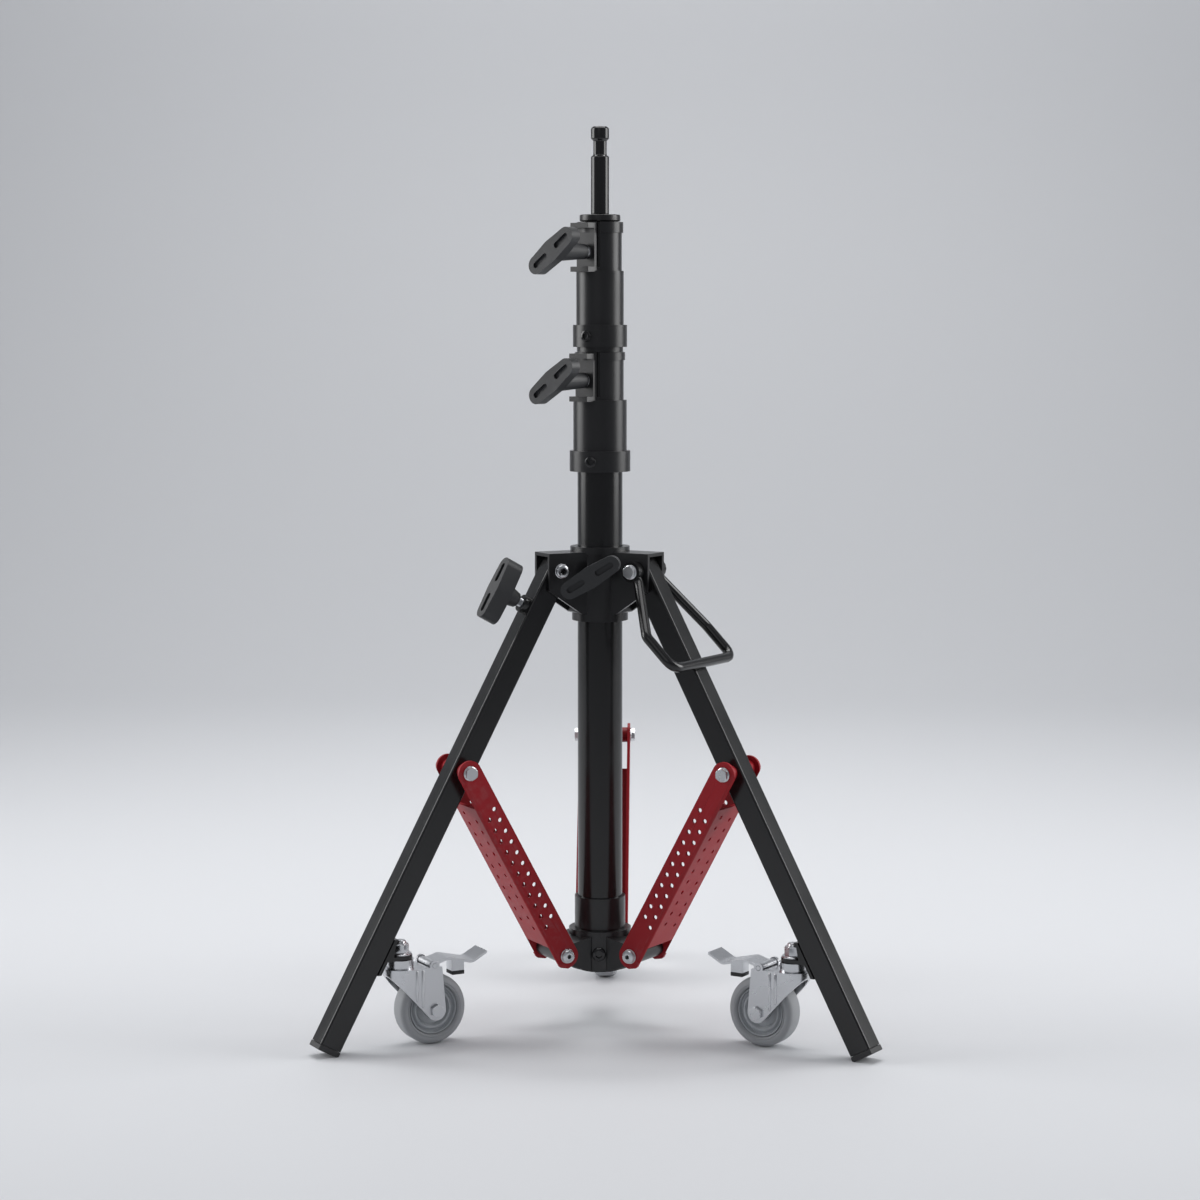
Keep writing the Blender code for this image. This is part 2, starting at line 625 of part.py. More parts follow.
def clamp(sections, bore_steps, casting, knob_height):
    """A clamp from its stack of sections and bores, with a hooked lug, a knob hole and a split."""
    diameter, bottom, top = casting
    lug_bottom = bottom - CLAMP_LUG_SETBACK
    lug_top = top - CLAMP_LUG_SETBACK
    half = CLAMP_LUG_WIDTH / 2
    lug = box((0, diameter / 2 + CLAMP_LUG_REACH), (-half, half), (lug_bottom, lug_top))
    hollow = (lug_bottom + CLAMP_LUG_LIP, lug_top - CLAMP_LUG_LIP)
    lug = cut(lug, box((diameter / 2 + CLAMP_LUG_FLOOR, FAR), (-FAR, FAR), hollow))
    body = joined(turned(stepped(sections)), turned_about_z(lug, CLAMP_KNOB_AZIMUTH))
    split = box((0, FAR), (-CLAMP_SPLIT / 2, CLAMP_SPLIT / 2), (bottom + CLAMP_SPLIT_ABOVE_SLEEVE, FAR))
    bores = [cylinder(diameter, low, high) for diameter, low, high in bore_steps]
    hole = screw_hole(CLAMP_KNOB_AZIMUTH, knob_height)
    return cut(body, *bores, hole, turned_about_z(split, CLAMP_SPLIT_AZIMUTH))


def stepped(sections):
    """The outer points of a stack of (diameter, bottom, top) sections, listed from the top down."""
    points = [(0, sections[0][2])]
    for diameter, bottom, top in sections:
        points += [(diameter / 2, top), (diameter / 2, bottom)]
    return points + [(0, sections[-1][1])]


def build_column():
    inside = COLUMN_DIAMETER - 2 * COLUMN_WALL
    part("base_column", tube(COLUMN_DIAMETER, inside, COLUMN_BOTTOM, COLUMN_TOP), BLACK_PAINT)
    sections = [
        (COLUMN_LIP_DIAMETER, COLUMN_LIP_BOTTOM, COLUMN_LIP_TOP),
        (COLUMN_CASTING_DIAMETER, COLUMN_SLEEVE_TOP, COLUMN_LIP_BOTTOM),
        (COLUMN_SLEEVE_DIAMETER, COLUMN_COLLAR_TOP, COLUMN_SLEEVE_TOP),
        (COLUMN_COLLAR_DIAMETER, COLUMN_COLLAR_BOTTOM, COLUMN_COLLAR_TOP),
    ]
    bores = [
        (COLUMN_DIAMETER + 2 * CLEARANCE, 0, COLUMN_TOP + CLEARANCE),
        (RISER_1_DIAMETER + 2 * CLEARANCE, 0, FAR),
    ]
    height = (COLUMN_SLEEVE_TOP + COLUMN_LIP_BOTTOM) / 2
    casting = (COLUMN_CASTING_DIAMETER, COLUMN_SLEEVE_TOP, COLUMN_LIP_TOP)
    part("column_clamp", clamp(sections, bores, casting, height), CASTING)
    axis = radial_axis(CLAMP_KNOB_AZIMUTH, height, CLAMP_KNOB_ROLL)
    tip = RISER_1_DIAMETER / 2 + 2 * CLEARANCE
    reach = CLAMP_KNOB_REACH
    knob("column_knob", AXIS, (0, 0, height), axis, reach, KNOB_THICKNESS, CLAMP_KNOB_HUB, tip)


def guide_bush(tube_diameter, tube_wall, bore, bottom):
    """A bush that plugs the foot of a riser, with a flange that runs in the bore of the tube outside it."""
    spigot = tube_diameter / 2 - tube_wall - CLEARANCE
    flange = bore / 2 - CLEARANCE
    seat = bottom - CLEARANCE
    inner = spigot - BUSH_WALL
    outer_side = [(spigot, seat + BUSH_SPIGOT), (spigot, seat), (flange, seat), (flange, seat - BUSH_FLANGE)]
    return turned(outer_side + [(inner, seat - BUSH_FLANGE), (inner, seat + BUSH_SPIGOT)], closed=True)


def build_risers():
    column_bore = COLUMN_DIAMETER - 2 * COLUMN_WALL
    riser_1_bore = RISER_1_DIAMETER - 2 * RISER_1_WALL
    riser_2_bore = RISER_2_DIAMETER - 2 * RISER_2_WALL
    part("riser_1_tube", tube(RISER_1_DIAMETER, riser_1_bore, RISER_1_BOTTOM, RISER_1_TOP), BLACK_PAINT)
    bush = guide_bush(RISER_1_DIAMETER, RISER_1_WALL, column_bore, RISER_1_BOTTOM)
    part("riser_1_bush", bush, BUSH_PLASTIC)
    sections = [
        (RISER_LIP_DIAMETER, RISER_LIP_BOTTOM, RISER_LIP_TOP),
        (RISER_CASTING_DIAMETER, RISER_SLEEVE_TOP, RISER_LIP_BOTTOM),
        (RISER_SLEEVE_DIAMETER, RISER_COLLAR_TOP, RISER_SLEEVE_TOP),
        (RISER_COLLAR_DIAMETER, RISER_COLLAR_BOTTOM, RISER_COLLAR_TOP),
        (RISER_SKIRT_DIAMETER, RISER_SKIRT_BOTTOM, RISER_COLLAR_BOTTOM),
    ]
    bores = [
        (RISER_1_DIAMETER + 2 * CLEARANCE, 0, RISER_1_TOP + CLEARANCE),
        (RISER_2_DIAMETER + 2 * CLEARANCE, 0, FAR),
    ]
    height = (RISER_SLEEVE_TOP + RISER_LIP_BOTTOM) / 2
    casting = (RISER_CASTING_DIAMETER, RISER_SLEEVE_TOP, RISER_LIP_TOP)
    part("riser_1_clamp", clamp(sections, bores, casting, height), CASTING)
    axis = radial_axis(CLAMP_KNOB_AZIMUTH, height, CLAMP_KNOB_ROLL)
    tip = RISER_2_DIAMETER / 2 + 2 * CLEARANCE
    reach = CLAMP_KNOB_REACH
    knob("riser_1_knob", AXIS, (0, 0, height), axis, reach, KNOB_THICKNESS, CLAMP_KNOB_HUB, tip)
    part("riser_2_tube", tube(RISER_2_DIAMETER, riser_2_bore, RISER_2_BOTTOM, RISER_2_TOP), BLACK_PAINT)
    bush = guide_bush(RISER_2_DIAMETER, RISER_2_WALL, riser_1_bore, RISER_2_BOTTOM)
    part("riser_2_bush", bush, BUSH_PLASTIC)
    build_head(riser_2_bore)


def build_head(riser_2_bore):
    """The top cap and the mounting stud."""
    seat = RISER_2_TOP + CLEARANCE
    cap_top = seat + CAP_HEIGHT
    spigot = riser_2_bore / 2 - CLEARANCE
    hole = STUD_SPIGOT_DIAMETER / 2 + CLEARANCE
    rim = CAP_DIAMETER / 2
    outer_side = [(rim, cap_top), (rim, seat), (spigot, seat), (spigot, seat - CAP_SPIGOT)]
    part("top_cap", turned(outer_side + [(hole, seat - CAP_SPIGOT), (hole, cap_top)], closed=True), CASTING)
    radius = STUD_DIAMETER / 2
    neck = STUD_NECK_DIAMETER / 2
    peg = STUD_SPIGOT_DIAMETER / 2
    base = cap_top + CLEARANCE
    neck_bottom = base + STUD_SHANK_LENGTH
    neck_top = neck_bottom + STUD_NECK_LENGTH
    top = neck_top + STUD_TIP_LENGTH
    profile = [
        (0, top),
        (radius - STUD_CHAMFER, top),
        (radius, top - STUD_CHAMFER),
        (radius, neck_top + STUD_CHAMFER),
        (neck, neck_top),
        (neck, neck_bottom),
        (radius, neck_bottom - STUD_CHAMFER),
        (radius, base),
        (peg, base),
        (peg, base - STUD_SPIGOT),
        (0, base - STUD_SPIGOT),
    ]
    part("mounting_stud", turned(profile), GLOSS_BLACK)


def build_yoke():
    """The sliding yoke, with a clevis for each leg and a boss for its knob."""
    sections = [
        (YOKE_RING_DIAMETER, YOKE_RING_BOTTOM, YOKE_RING_TOP),
        (YOKE_SLEEVE_DIAMETER, YOKE_BOTTOM, YOKE_RING_BOTTOM),
    ]
    body = turned(stepped(sections))
    root = COLUMN_RADIUS
    side_view = [
        (root, CLEVIS_TOP),
        (CLEVIS_REACH, CLEVIS_TOP),
        (CLEVIS_REACH, CLEVIS_CHIN),
        (YOKE_SLEEVE_DIAMETER / 2, CLEVIS_ROOT),
        (root, CLEVIS_ROOT),
    ]
    slot_half = LEG_HALF + CLEARANCE
    blocks = []
    bore = cylinder(COLUMN_DIAMETER + 2 * YOKE_SLIDE_GAP, 0, FAR)
    cuts = [bore, screw_hole(YOKE_KNOB_AZIMUTH, YOKE_KNOB_HEIGHT)]
    for angle in SPOKES.values():
        blocks.append(turned_about_z(plate(side_view, -CLEVIS_HALF, CLEVIS_HALF), angle))
        slot = box((CLEVIS_SLOT_FLOOR, FAR), (-slot_half, slot_half), (0, CLEVIS_TOP - CLEVIS_ROOF))
        cuts.append(turned_about_z(slot, angle))
        cuts.append(turned_about_z(cross_hole(SCREW_DIAMETER, HINGE, YOKE_RING_DIAMETER), angle))
    boss = along_x(cylinder(YOKE_BOSS_DIAMETER, root, YOKE_BOSS_REACH, SMALL_ROUND))
    boss = moved(boss, radial_axis(YOKE_KNOB_AZIMUTH, YOKE_KNOB_HEIGHT, 0))
    part("yoke", cut(joined(body, boss, *blocks), *cuts), CASTING, AXIS, (0, 0, HINGE_HEIGHT))
    axis = radial_axis(YOKE_KNOB_AZIMUTH, YOKE_KNOB_HEIGHT, YOKE_KNOB_ROLL)
    tip = COLUMN_DIAMETER / 2 + 2 * CLEARANCE
    place = (0, 0, YOKE_KNOB_HEIGHT)
    knob("yoke_knob", AXIS, place, axis, YOKE_KNOB_REACH, KNOB_THICKNESS, YOKE_KNOB_HUB, tip)
    spoke_parts("hinge_bolt", pivot_bolt(CLEVIS_HALF, HINGE), ZINC, HINGE, ("rear", "left"))
    grip = CLEVIS_HALF + CLEARANCE + HANDLE_DIAMETER
    spoke_parts("hinge_bolt", pivot_bolt(grip, HINGE), ZINC, HINGE, ("right",))


def leg_tube():
    """A square tube from above its hinge to its foot cap, in leg axes: x outwards, z up along the leg."""
    inner = LEG_HALF - LEG_WALL
    bottom = -LEG_LENGTH + FOOT_CAP_THICKNESS + CLEARANCE
    outside = box((-LEG_HALF, LEG_HALF), (-LEG_HALF, LEG_HALF), (bottom, LEG_ABOVE_HINGE))
    return cut(outside, box((-inner, inner), (-inner, inner), (-FAR, FAR)))


def slot_across(top, bottom, diameter):
    """A slot through both sides of a leg, from one height along it to another."""
    radius = diameter / 2 + CLEARANCE
    ends = circle((0, top), radius, SMALL_ROUND) + circle((0, bottom), radius, SMALL_ROUND)
    return plate(hull(ends), -FAR, FAR)


def foot_cap(inside):
    """A cap on a leg's square end, with a spigot that fits an inside half-width and a flat where it rests."""
    seat = -LEG_LENGTH + FOOT_CAP_THICKNESS
    spigot_half = inside - CLEARANCE
    flange = box((-LEG_HALF, LEG_HALF), (-LEG_HALF, LEG_HALF), (-LEG_LENGTH, seat))
    spigot_ends = (seat - FOOT_CAP_THICKNESS / 2, seat + FOOT_CAP_SPIGOT)
    spigot = box((-spigot_half, spigot_half), (-spigot_half, spigot_half), spigot_ends)
    floor = box((-FAR, FAR), (-FAR, FAR), (-FAR, 0))
    return cut(moved(joined(flange, spigot), LEG_FRAME), floor)


def build_legs():
    bolts = [cross_hole(SCREW_DIAMETER, (0, 0, height)) for height in (0, -BRACE_LENGTH)]
    plain = cut(leg_tube(), *bolts)
    spoke_parts("leg", moved(plain, LEG_FRAME), BLACK_PAINT, HINGE, ("rear", "right"))
    spoke_parts("foot_cap", foot_cap(LEG_HALF - LEG_WALL), CAP_PLASTIC, HINGE, ("rear", "right"))
    build_levelling_leg()


def build_levelling_leg():
    """The left leg: a foot bar slides out of its tube and is locked by a T-knob."""
    out = Matrix.Translation((0, 0, -LEVEL_KNOB_BELOW_HINGE))
    boss_ends = (LEG_HALF - LEG_WALL / 2, LEG_HALF + LEVEL_BOSS_HEIGHT)
    boss = along_x(cylinder(LEVEL_BOSS_DIAMETER, *boss_ends, SMALL_ROUND))
    hole = along_x(cylinder(SCREW_DIAMETER + 2 * CLEARANCE, 0, FAR, SMALL_ROUND))
    bolts = [cross_hole(SCREW_DIAMETER, (0, 0, height)) for height in (0, -BRACE_LENGTH)]
    outer = cut(joined(leg_tube(), moved(boss, out)), moved(hole, out), *bolts)
    spoke_parts("leg", moved(outer, LEG_FRAME), BLACK_PAINT, HINGE, ("left",))
    half = LEG_HALF - LEG_WALL - CLEARANCE
    inner = half - LEVEL_BAR_WALL
    bar = box((-half, half), (-half, half), (-LEG_LENGTH + FOOT_CAP_THICKNESS + CLEARANCE, LEG_ABOVE_HINGE))
    hollow = box((-inner, inner), (-inner, inner), (-FAR, FAR))
    notch = slot_across(FAR, 0, SCREW_DIAMETER)
    slot = slot_across(-BRACE_LENGTH + LEVEL_TRAVEL, -BRACE_LENGTH, SCREW_DIAMETER)
    spoke_parts("foot_bar", moved(cut(bar, hollow, notch, slot), LEG_FRAME), ZINC, HINGE, ("left",))
    spoke_parts("foot_cap", foot_cap(inner), CAP_PLASTIC, HINGE, ("left",))
    tip = half + CLEARANCE
    spoke = SPOKE_FRAMES["left"]
    axis = LEG_FRAME @ out
    knob("level_knob", spoke, HINGE, axis, LEVEL_KNOB_REACH, LEVEL_KNOB_THICKNESS, LEVEL_KNOB_HUB, tip)


def build_braces():
    """Red U-channels from legs to collar, in brace axes: x outwards and down, z up along the brace."""
    half = BRACE_WIDTH / 2
    top_end = circle((0, 0), BRACE_HALF_DEPTH)
    foot_end = circle((0, -BRACE_LENGTH), BRACE_HALF_DEPTH)
    body = plate(hull(top_end + foot_end), -half, half)
    inside = (-BRACE_INNER_HALF, BRACE_INNER_HALF)
    channel = box((-FAR, BRACE_HALF_DEPTH - BRACE_SHEET), inside, (-FAR, FAR))
    above = box((-FAR, FAR), inside, (-BRACE_WEB_BELOW_TOP, FAR))
    below = box((-FAR, FAR), inside, (-FAR, -BRACE_LENGTH + BRACE_WEB_ABOVE_FOOT))
    bridge = cut(body, channel, below, above)
    bush_start = LEG_HALF + BRACE_SIDE_GAP
    bushes = []
    for side in (-1, 1):
        ends = sorted((side * bush_start, side * (half - BRACE_SHEET / 2)))
        bushes.append(across(cylinder(BRACE_BUSH_DIAMETER, *ends, SMALL_ROUND), (0, 0, 0)))
    holes = [cross_hole(SCREW_DIAMETER, (0, 0, height)) for height in (0, -BRACE_LENGTH)]
    channel_piece = cut(joined(bridge, *bushes), *holes)
    spoke_parts("brace", moved(channel_piece, BRACE_FRAME), RED_PAINT, BRACE_TOP)
    spoke_parts("brace_top_bolt", pivot_bolt(half, BRACE_TOP), ZINC, BRACE_TOP)
    spoke_parts("brace_foot_bolt", pivot_bolt(half, BRACE_FOOT), ZINC, BRACE_FOOT)


def build_brace_collar():
    """The collar at the foot of the column, with an arm between the sides of each brace."""
    sections = [
        (COLLAR_SLEEVE_DIAMETER, COLLAR_SHOULDER, COLLAR_TOP),
        (COLLAR_BODY_DIAMETER, COLLAR_BOTTOM, COLLAR_SHOULDER),
    ]
    body = turned(stepped(sections))
    half = BRACE_INNER_HALF - BRACE_SIDE_GAP
    end = COLLAR_ARM_HEIGHT / 2
    root = [(COLUMN_DIAMETER / 2, COLLAR_BOTTOM), (COLUMN_DIAMETER / 2, COLLAR_SHOULDER - end / 2)]
    side_view = hull(circle((BRACE_FOOT.x, BRACE_FOOT.z), end, SMALL_ROUND) + root)
    play = COLLAR_SLOT_PLAY
    arms = []
    slots = []
    for angle in SPOKES.values():
        arms.append(turned_about_z(plate(side_view, -half, half), angle))
        slot = slot_across(BRACE_FOOT.z + play, BRACE_FOOT.z - play, SCREW_DIAMETER)
        slot.transform(Matrix.Translation((BRACE_FOOT.x, 0, 0)))
        trimmed = cut(slot, box((-FAR, FAR), (BRACE_WIDTH, FAR + FAR), (-FAR, FAR)))
        trimmed = cut(trimmed, box((-FAR, FAR), (-FAR - FAR, -BRACE_WIDTH), (-FAR, FAR)))
        slots.append(turned_about_z(trimmed, angle))
    bore = cylinder(COLUMN_DIAMETER + 2 * CLEARANCE, 0, FAR)
    part("brace_collar", cut(joined(body, *arms), bore, *slots), CASTING)


def build_handle():
    """The carry handle: a bent rod whose eyes turn on the right hinge bolt and whose bar rests on the leg."""
    radius = HANDLE_DIAMETER / 2
    offset = LEG_HALF + radius + HANDLE_REST_GAP
    spread = (offset - HANDLE_RISE * math.sin(HANDLE_RISE_TILT - LEG_TILT)) / HANDLE_ARM
    arm_tilt = LEG_TILT + math.asin(spread)
    along = Vector((math.sin(arm_tilt), 0, -math.cos(arm_tilt)))
    rise = Vector((math.sin(HANDLE_RISE_TILT), 0, -math.cos(HANDLE_RISE_TILT)))
    eye = CLEVIS_HALF + CLEARANCE + radius
    elbow = HINGE + along * HANDLE_ARM
    end = elbow + rise * HANDLE_RISE
    side = [
        HINGE + Vector((0, eye, 0)),
        HINGE + along * HANDLE_FLARE_START + Vector((0, eye, 0)),
        elbow + Vector((0, HANDLE_HALF_WIDTH, 0)),
        end + Vector((0, HANDLE_HALF_WIDTH, 0)),
    ]
    mirror = [Vector((place.x, -place.y, place.z)) for place in reversed(side)]
    bail = rod(rounded_path(side + mirror, HANDLE_CORNER), HANDLE_DIAMETER)
    eyes = []
    for sign in (-1, 1):
        ends = sorted((sign * (eye - radius), sign * (eye + radius)))
        eyes.append(across(cylinder(HANDLE_EYE_DIAMETER, *ends, SMALL_ROUND), HINGE))
    bail = cut(joined(bail, *eyes), cross_hole(SCREW_DIAMETER, HINGE))
    spoke_parts("carry_handle", bail, BLACK_PAINT, HINGE, ("right",))


def from_kingpin(back, height):
    """An (x, z) point given by how far it trails behind the kingpin."""
    return (KINGPIN_RADIUS - back, height)


def around_kingpin(diameter, sides=SMALL_ROUND):
    hole = cylinder(diameter, 0, FAR, sides)
    return moved(hole, Matrix.Translation((KINGPIN_RADIUS, 0, 0)))


def build_caster_bracket():
    """A bracket on the leg's inner face, and the kingpin that hangs the fork from it."""
    thick = BRACKET_FLANGE / LEG_ACROSS
    flange_top = BRACKET_TOP + BRACKET_FLANGE_ABOVE_PLATE
    flange_bottom = BRACKET_LOW - BRACKET_FLANGE_BELOW_PLATE
    gusset_top = BRACKET_TOP + BRACKET_GUSSET_HEIGHT
    outline = [
        (inner_face(flange_top), flange_top),
        (inner_face(flange_bottom), flange_bottom),
        (inner_face(flange_bottom) - thick, flange_bottom),
        (inner_face(BRACKET_LOW) - thick, BRACKET_LOW),
        from_kingpin(LEG_SIDE, BRACKET_LOW),
        from_kingpin(LEG_SIDE, BRACKET_TOP),
        from_kingpin(-BRACKET_GUSSET_START, BRACKET_TOP),
        (inner_face(gusset_top) - thick, gusset_top),
        (inner_face(flange_top) - thick, flange_top),
    ]
    floor = BRACKET_TOP - CLEARANCE
    above = flange_top + BRACKET_FLANGE
    pocket = [
        (inner_face(floor) - thick, floor),
        (inner_face(above) - thick, above),
        from_kingpin(0, above),
        from_kingpin(-BRACKET_GUSSET_START + BRACKET_GUSSET, floor),
    ]
    pocket_half = LEG_HALF - BRACKET_GUSSET
    nose = circle((KINGPIN_RADIUS, 0), LEG_HALF)
    plan = hull(nose + [(FAR, -LEG_HALF), (FAR, LEG_HALF)])
    bracket = shared(plate(outline, -LEG_SIDE, LEG_SIDE), slab(plan, 0, FAR))
    pocket_cut = plate(pocket, -pocket_half, pocket_half)
    bracket = cut(bracket, around_kingpin(KINGPIN_DIAMETER + 2 * CLEARANCE), pocket_cut)
    spoke_parts("caster_bracket", bracket, BLACK_PAINT, HINGE)
    pin = KINGPIN_DIAMETER / 2
    nut = KINGPIN_NUT_DIAMETER / 2
    washer = KINGPIN_WASHER_DIAMETER / 2
    seat = BRACKET_TOP + CLEARANCE
    nut_seat = seat + KINGPIN_WASHER_HEIGHT
    nut_top = nut_seat + KINGPIN_NUT_HEIGHT
    foot = FORK_CROWN_LOW - CLEARANCE
    profile = [
        (0, nut_top + KINGPIN_TIP_HEIGHT),
        (pin, nut_top + KINGPIN_TIP_HEIGHT),
        (pin, nut_top),
        (nut, nut_top),
        (nut, nut_seat),
        (washer, nut_seat),
        (washer, seat),
        (pin, seat),
        (pin, foot),
        (nut, foot),
        (nut, foot - KINGPIN_FOOT_HEIGHT),
        (0, foot - KINGPIN_FOOT_HEIGHT),
    ]
    pin_mesh = moved(turned(profile, sides=SMALL_ROUND), Matrix.Translation((KINGPIN_RADIUS, 0, 0)))
    spoke_parts("kingpin", pin_mesh, ZINC, KINGPIN)


def fork_plan(half, bottom, top):
    """The fork seen from above: two straight sides that meet in a round nose, as a block."""
    return slab(hull(circle((KINGPIN_RADIUS, 0), half) + [(0, -half), (0, half)]), bottom, top)


def build_fork():
    """The fork: a race and crown under the bracket, and cheeks that hold the axle and the pedal's pin."""
    race_bore = KINGPIN_DIAMETER + 4 * CLEARANCE
    race = tube(RACE_DIAMETER, race_bore, FORK_CROWN_TOP - FORK_CROWN / 2, BRACKET_LOW - CLEARANCE)
    race.transform(Matrix.Translation((KINGPIN_RADIUS, 0, 0)))
    front_top = from_kingpin(-FORK_HALF, FORK_CROWN_TOP)
    front_low = from_kingpin(-FORK_HALF, FORK_CROWN_TOP - FORK_FRONT_DEPTH)
    corners = [front_top, front_low, from_kingpin(FORK_BACK, FORK_CROWN_TOP)]
    side_view = hull(corners + circle((AXLE.x, AXLE.z), FORK_EYE, SMALL_ROUND))
    upper_half = circle((PEDAL_PIVOT.x, PEDAL_PIVOT.z), PEDAL_TAB_RADIUS, SMALL_ROUND)[: SMALL_ROUND // 2]
    tab = [(upper_half[0][0], FORK_CROWN_TOP), *upper_half, (upper_half[-1][0], FORK_CROWN_TOP)]
    after = side_view.index(front_top) + 1
    outline = side_view[:after] + tab + side_view[after:]
    body = shared(plate(outline, -2 * FORK_HALF, 2 * FORK_HALF), fork_plan(FORK_HALF, 0, FAR))
    under = fork_plan(FORK_INNER_HALF, -FAR, FORK_CROWN_LOW)
    inside = (-FORK_INNER_HALF, FORK_INNER_HALF)
    behind = box((-FAR, KINGPIN_RADIUS - FORK_CROWN_BACK), inside, (FORK_CROWN_LOW - FORK_CROWN, FAR))
    holes = [
        around_kingpin(KINGPIN_DIAMETER + 2 * CLEARANCE),
        cross_hole(AXLE_DIAMETER, AXLE),
        cross_hole(PEDAL_PIN_DIAMETER, PEDAL_PIVOT),
    ]
    spoke_parts("caster_fork", joined(cut(body, under, behind, *holes), race), ZINC, KINGPIN)


def build_wheel():
    seat = FORK_HALF + CLEARANCE
    pin = AXLE_DIAMETER / 2
    head = AXLE_HEAD_DIAMETER / 2
    end = seat + AXLE_HEAD_HEIGHT
    upper = [(0, end), (head, end), (head, seat), (pin, seat)]
    lower = [(radius, -height) for radius, height in reversed(upper)]
    spoke_parts("caster_axle", across(turned(upper + lower, sides=SMALL_ROUND), AXLE), ZINC, AXLE)
    bore = pin + CLEARANCE
    hub = HUB_DIAMETER / 2
    rim = RIM_DIAMETER / 2
    hub_half = FORK_INNER_HALF - WHEEL_SIDE_GAP / 2
    half_side = [
        (bore, hub_half),
        (hub, hub_half),
        (hub, RIM_DISC / 2),
        (rim - RIM_LIP, RIM_DISC / 2),
        (rim - RIM_LIP, RIM_WIDTH / 2),
        (rim, RIM_WIDTH / 2),
    ]
    rim_loop = half_side + [(radius, -height) for radius, height in reversed(half_side)]
    spoke_parts("caster_rim", across(turned(rim_loop, closed=True), AXLE), RIM_PLASTIC, AXLE)
    inner = rim + CLEARANCE
    outer = WHEEL_DIAMETER / 2
    half = TYRE_WIDTH / 2
    side = [(inner, half), (outer - TYRE_SHOULDER, half), (outer, half - TYRE_SHOULDER)]
    tyre_loop = side + [(radius, -height) for radius, height in reversed(side)]
    spoke_parts("caster_tyre", across(turned(tyre_loop, closed=True), AXLE), TYRE_RUBBER, AXLE)


def build_pedal():
    """The brake pedal: a bent plate with a pad over the tyre, turning on a pin in the fork."""
    crown = FORK_CROWN_TOP
    crest = from_kingpin(PEDAL_CREST_BACK, crown + PEDAL_CREST_ABOVE_CROWN)
    dip = from_kingpin(PEDAL_DIP_BACK, crown + PEDAL_DIP_ABOVE_CROWN)
    tip = from_kingpin(PEDAL_TIP_BACK, crown + PEDAL_TIP_ABOVE_CROWN)
    bends = [PEDAL_PIVOT] + [Vector((x, 0, z)) for x, z in (crest, dip, tip)]
    line = rounded_path(bends, PEDAL_BEND)
    upper = [(place.x, place.z + PEDAL_SHEET / 2) for place in line]
    lower = [(place.x, place.z - PEDAL_SHEET / 2) for place in reversed(line)]
    half = PEDAL_WIDTH / 2
    pad_bottom = crown - PAD_BELOW_CROWN
    slope = (PEDAL_CREST_ABOVE_CROWN - PEDAL_DIP_ABOVE_CROWN) / (PEDAL_DIP_BACK - PEDAL_CREST_BACK)
    pad = [
        from_kingpin(PAD_FRONT, pad_bottom),
        from_kingpin(PAD_BACK, pad_bottom),
        from_kingpin(PAD_BACK, dip[1] + slope * (PEDAL_DIP_BACK - PAD_BACK)),
        from_kingpin(PAD_FRONT, dip[1] + slope * (PEDAL_DIP_BACK - PAD_FRONT)),
    ]
    knuckle_half = FORK_INNER_HALF - CLEARANCE
    knuckle = across(cylinder(PEDAL_KNUCKLE_DIAMETER, -knuckle_half, knuckle_half, SMALL_ROUND), PEDAL_PIVOT)
    pin = across(cylinder(PEDAL_PIN_DIAMETER, -FORK_HALF, FORK_HALF, SMALL_ROUND), PEDAL_PIVOT)
    sheet = plate(upper + lower, -half, half)
    shoe = plate(pad, -half / 2, half / 2)
    spoke_parts("brake_pedal", joined(sheet, shoe, knuckle, pin), ZINC, PEDAL_PIVOT)


build_column()
build_risers()
build_yoke()
build_legs()
build_braces()
build_brace_collar()
build_handle()
build_caster_bracket()
build_fork()
build_wheel()
build_pedal()
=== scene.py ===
import json
import math

import bmesh
import bpy
from bpy.props import FloatProperty, FloatVectorProperty, IntProperty, PointerProperty
from mathutils import Matrix, Vector

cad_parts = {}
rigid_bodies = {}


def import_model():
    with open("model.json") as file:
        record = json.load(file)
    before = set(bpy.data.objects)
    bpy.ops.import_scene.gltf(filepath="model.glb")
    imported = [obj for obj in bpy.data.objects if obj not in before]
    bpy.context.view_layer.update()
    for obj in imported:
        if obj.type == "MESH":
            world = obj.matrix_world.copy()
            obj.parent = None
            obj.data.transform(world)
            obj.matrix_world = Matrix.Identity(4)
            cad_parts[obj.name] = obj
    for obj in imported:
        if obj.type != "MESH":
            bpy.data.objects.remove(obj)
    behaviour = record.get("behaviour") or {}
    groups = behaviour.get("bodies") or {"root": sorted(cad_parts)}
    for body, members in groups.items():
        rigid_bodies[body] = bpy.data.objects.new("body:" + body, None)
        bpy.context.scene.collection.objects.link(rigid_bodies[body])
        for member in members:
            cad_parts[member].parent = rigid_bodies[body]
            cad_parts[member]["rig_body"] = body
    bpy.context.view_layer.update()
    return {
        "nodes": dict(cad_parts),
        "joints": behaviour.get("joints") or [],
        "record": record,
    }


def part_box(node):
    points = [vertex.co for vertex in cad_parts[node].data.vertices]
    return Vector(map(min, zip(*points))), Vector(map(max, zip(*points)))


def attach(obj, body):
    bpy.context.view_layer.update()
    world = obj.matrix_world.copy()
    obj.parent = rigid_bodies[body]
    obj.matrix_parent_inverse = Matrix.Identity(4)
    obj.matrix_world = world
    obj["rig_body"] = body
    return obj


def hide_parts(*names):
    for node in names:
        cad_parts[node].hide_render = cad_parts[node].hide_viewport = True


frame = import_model()

bl_info = {
    "name": "Roller lighting stand",
    "version": (1, 0, 0),
    "blender": (4, 5, 0),
    "location": "3D View > Sidebar > Stand",
    "description": "Dresses a roller lighting stand and sets its stage",
    "category": "Object",
}

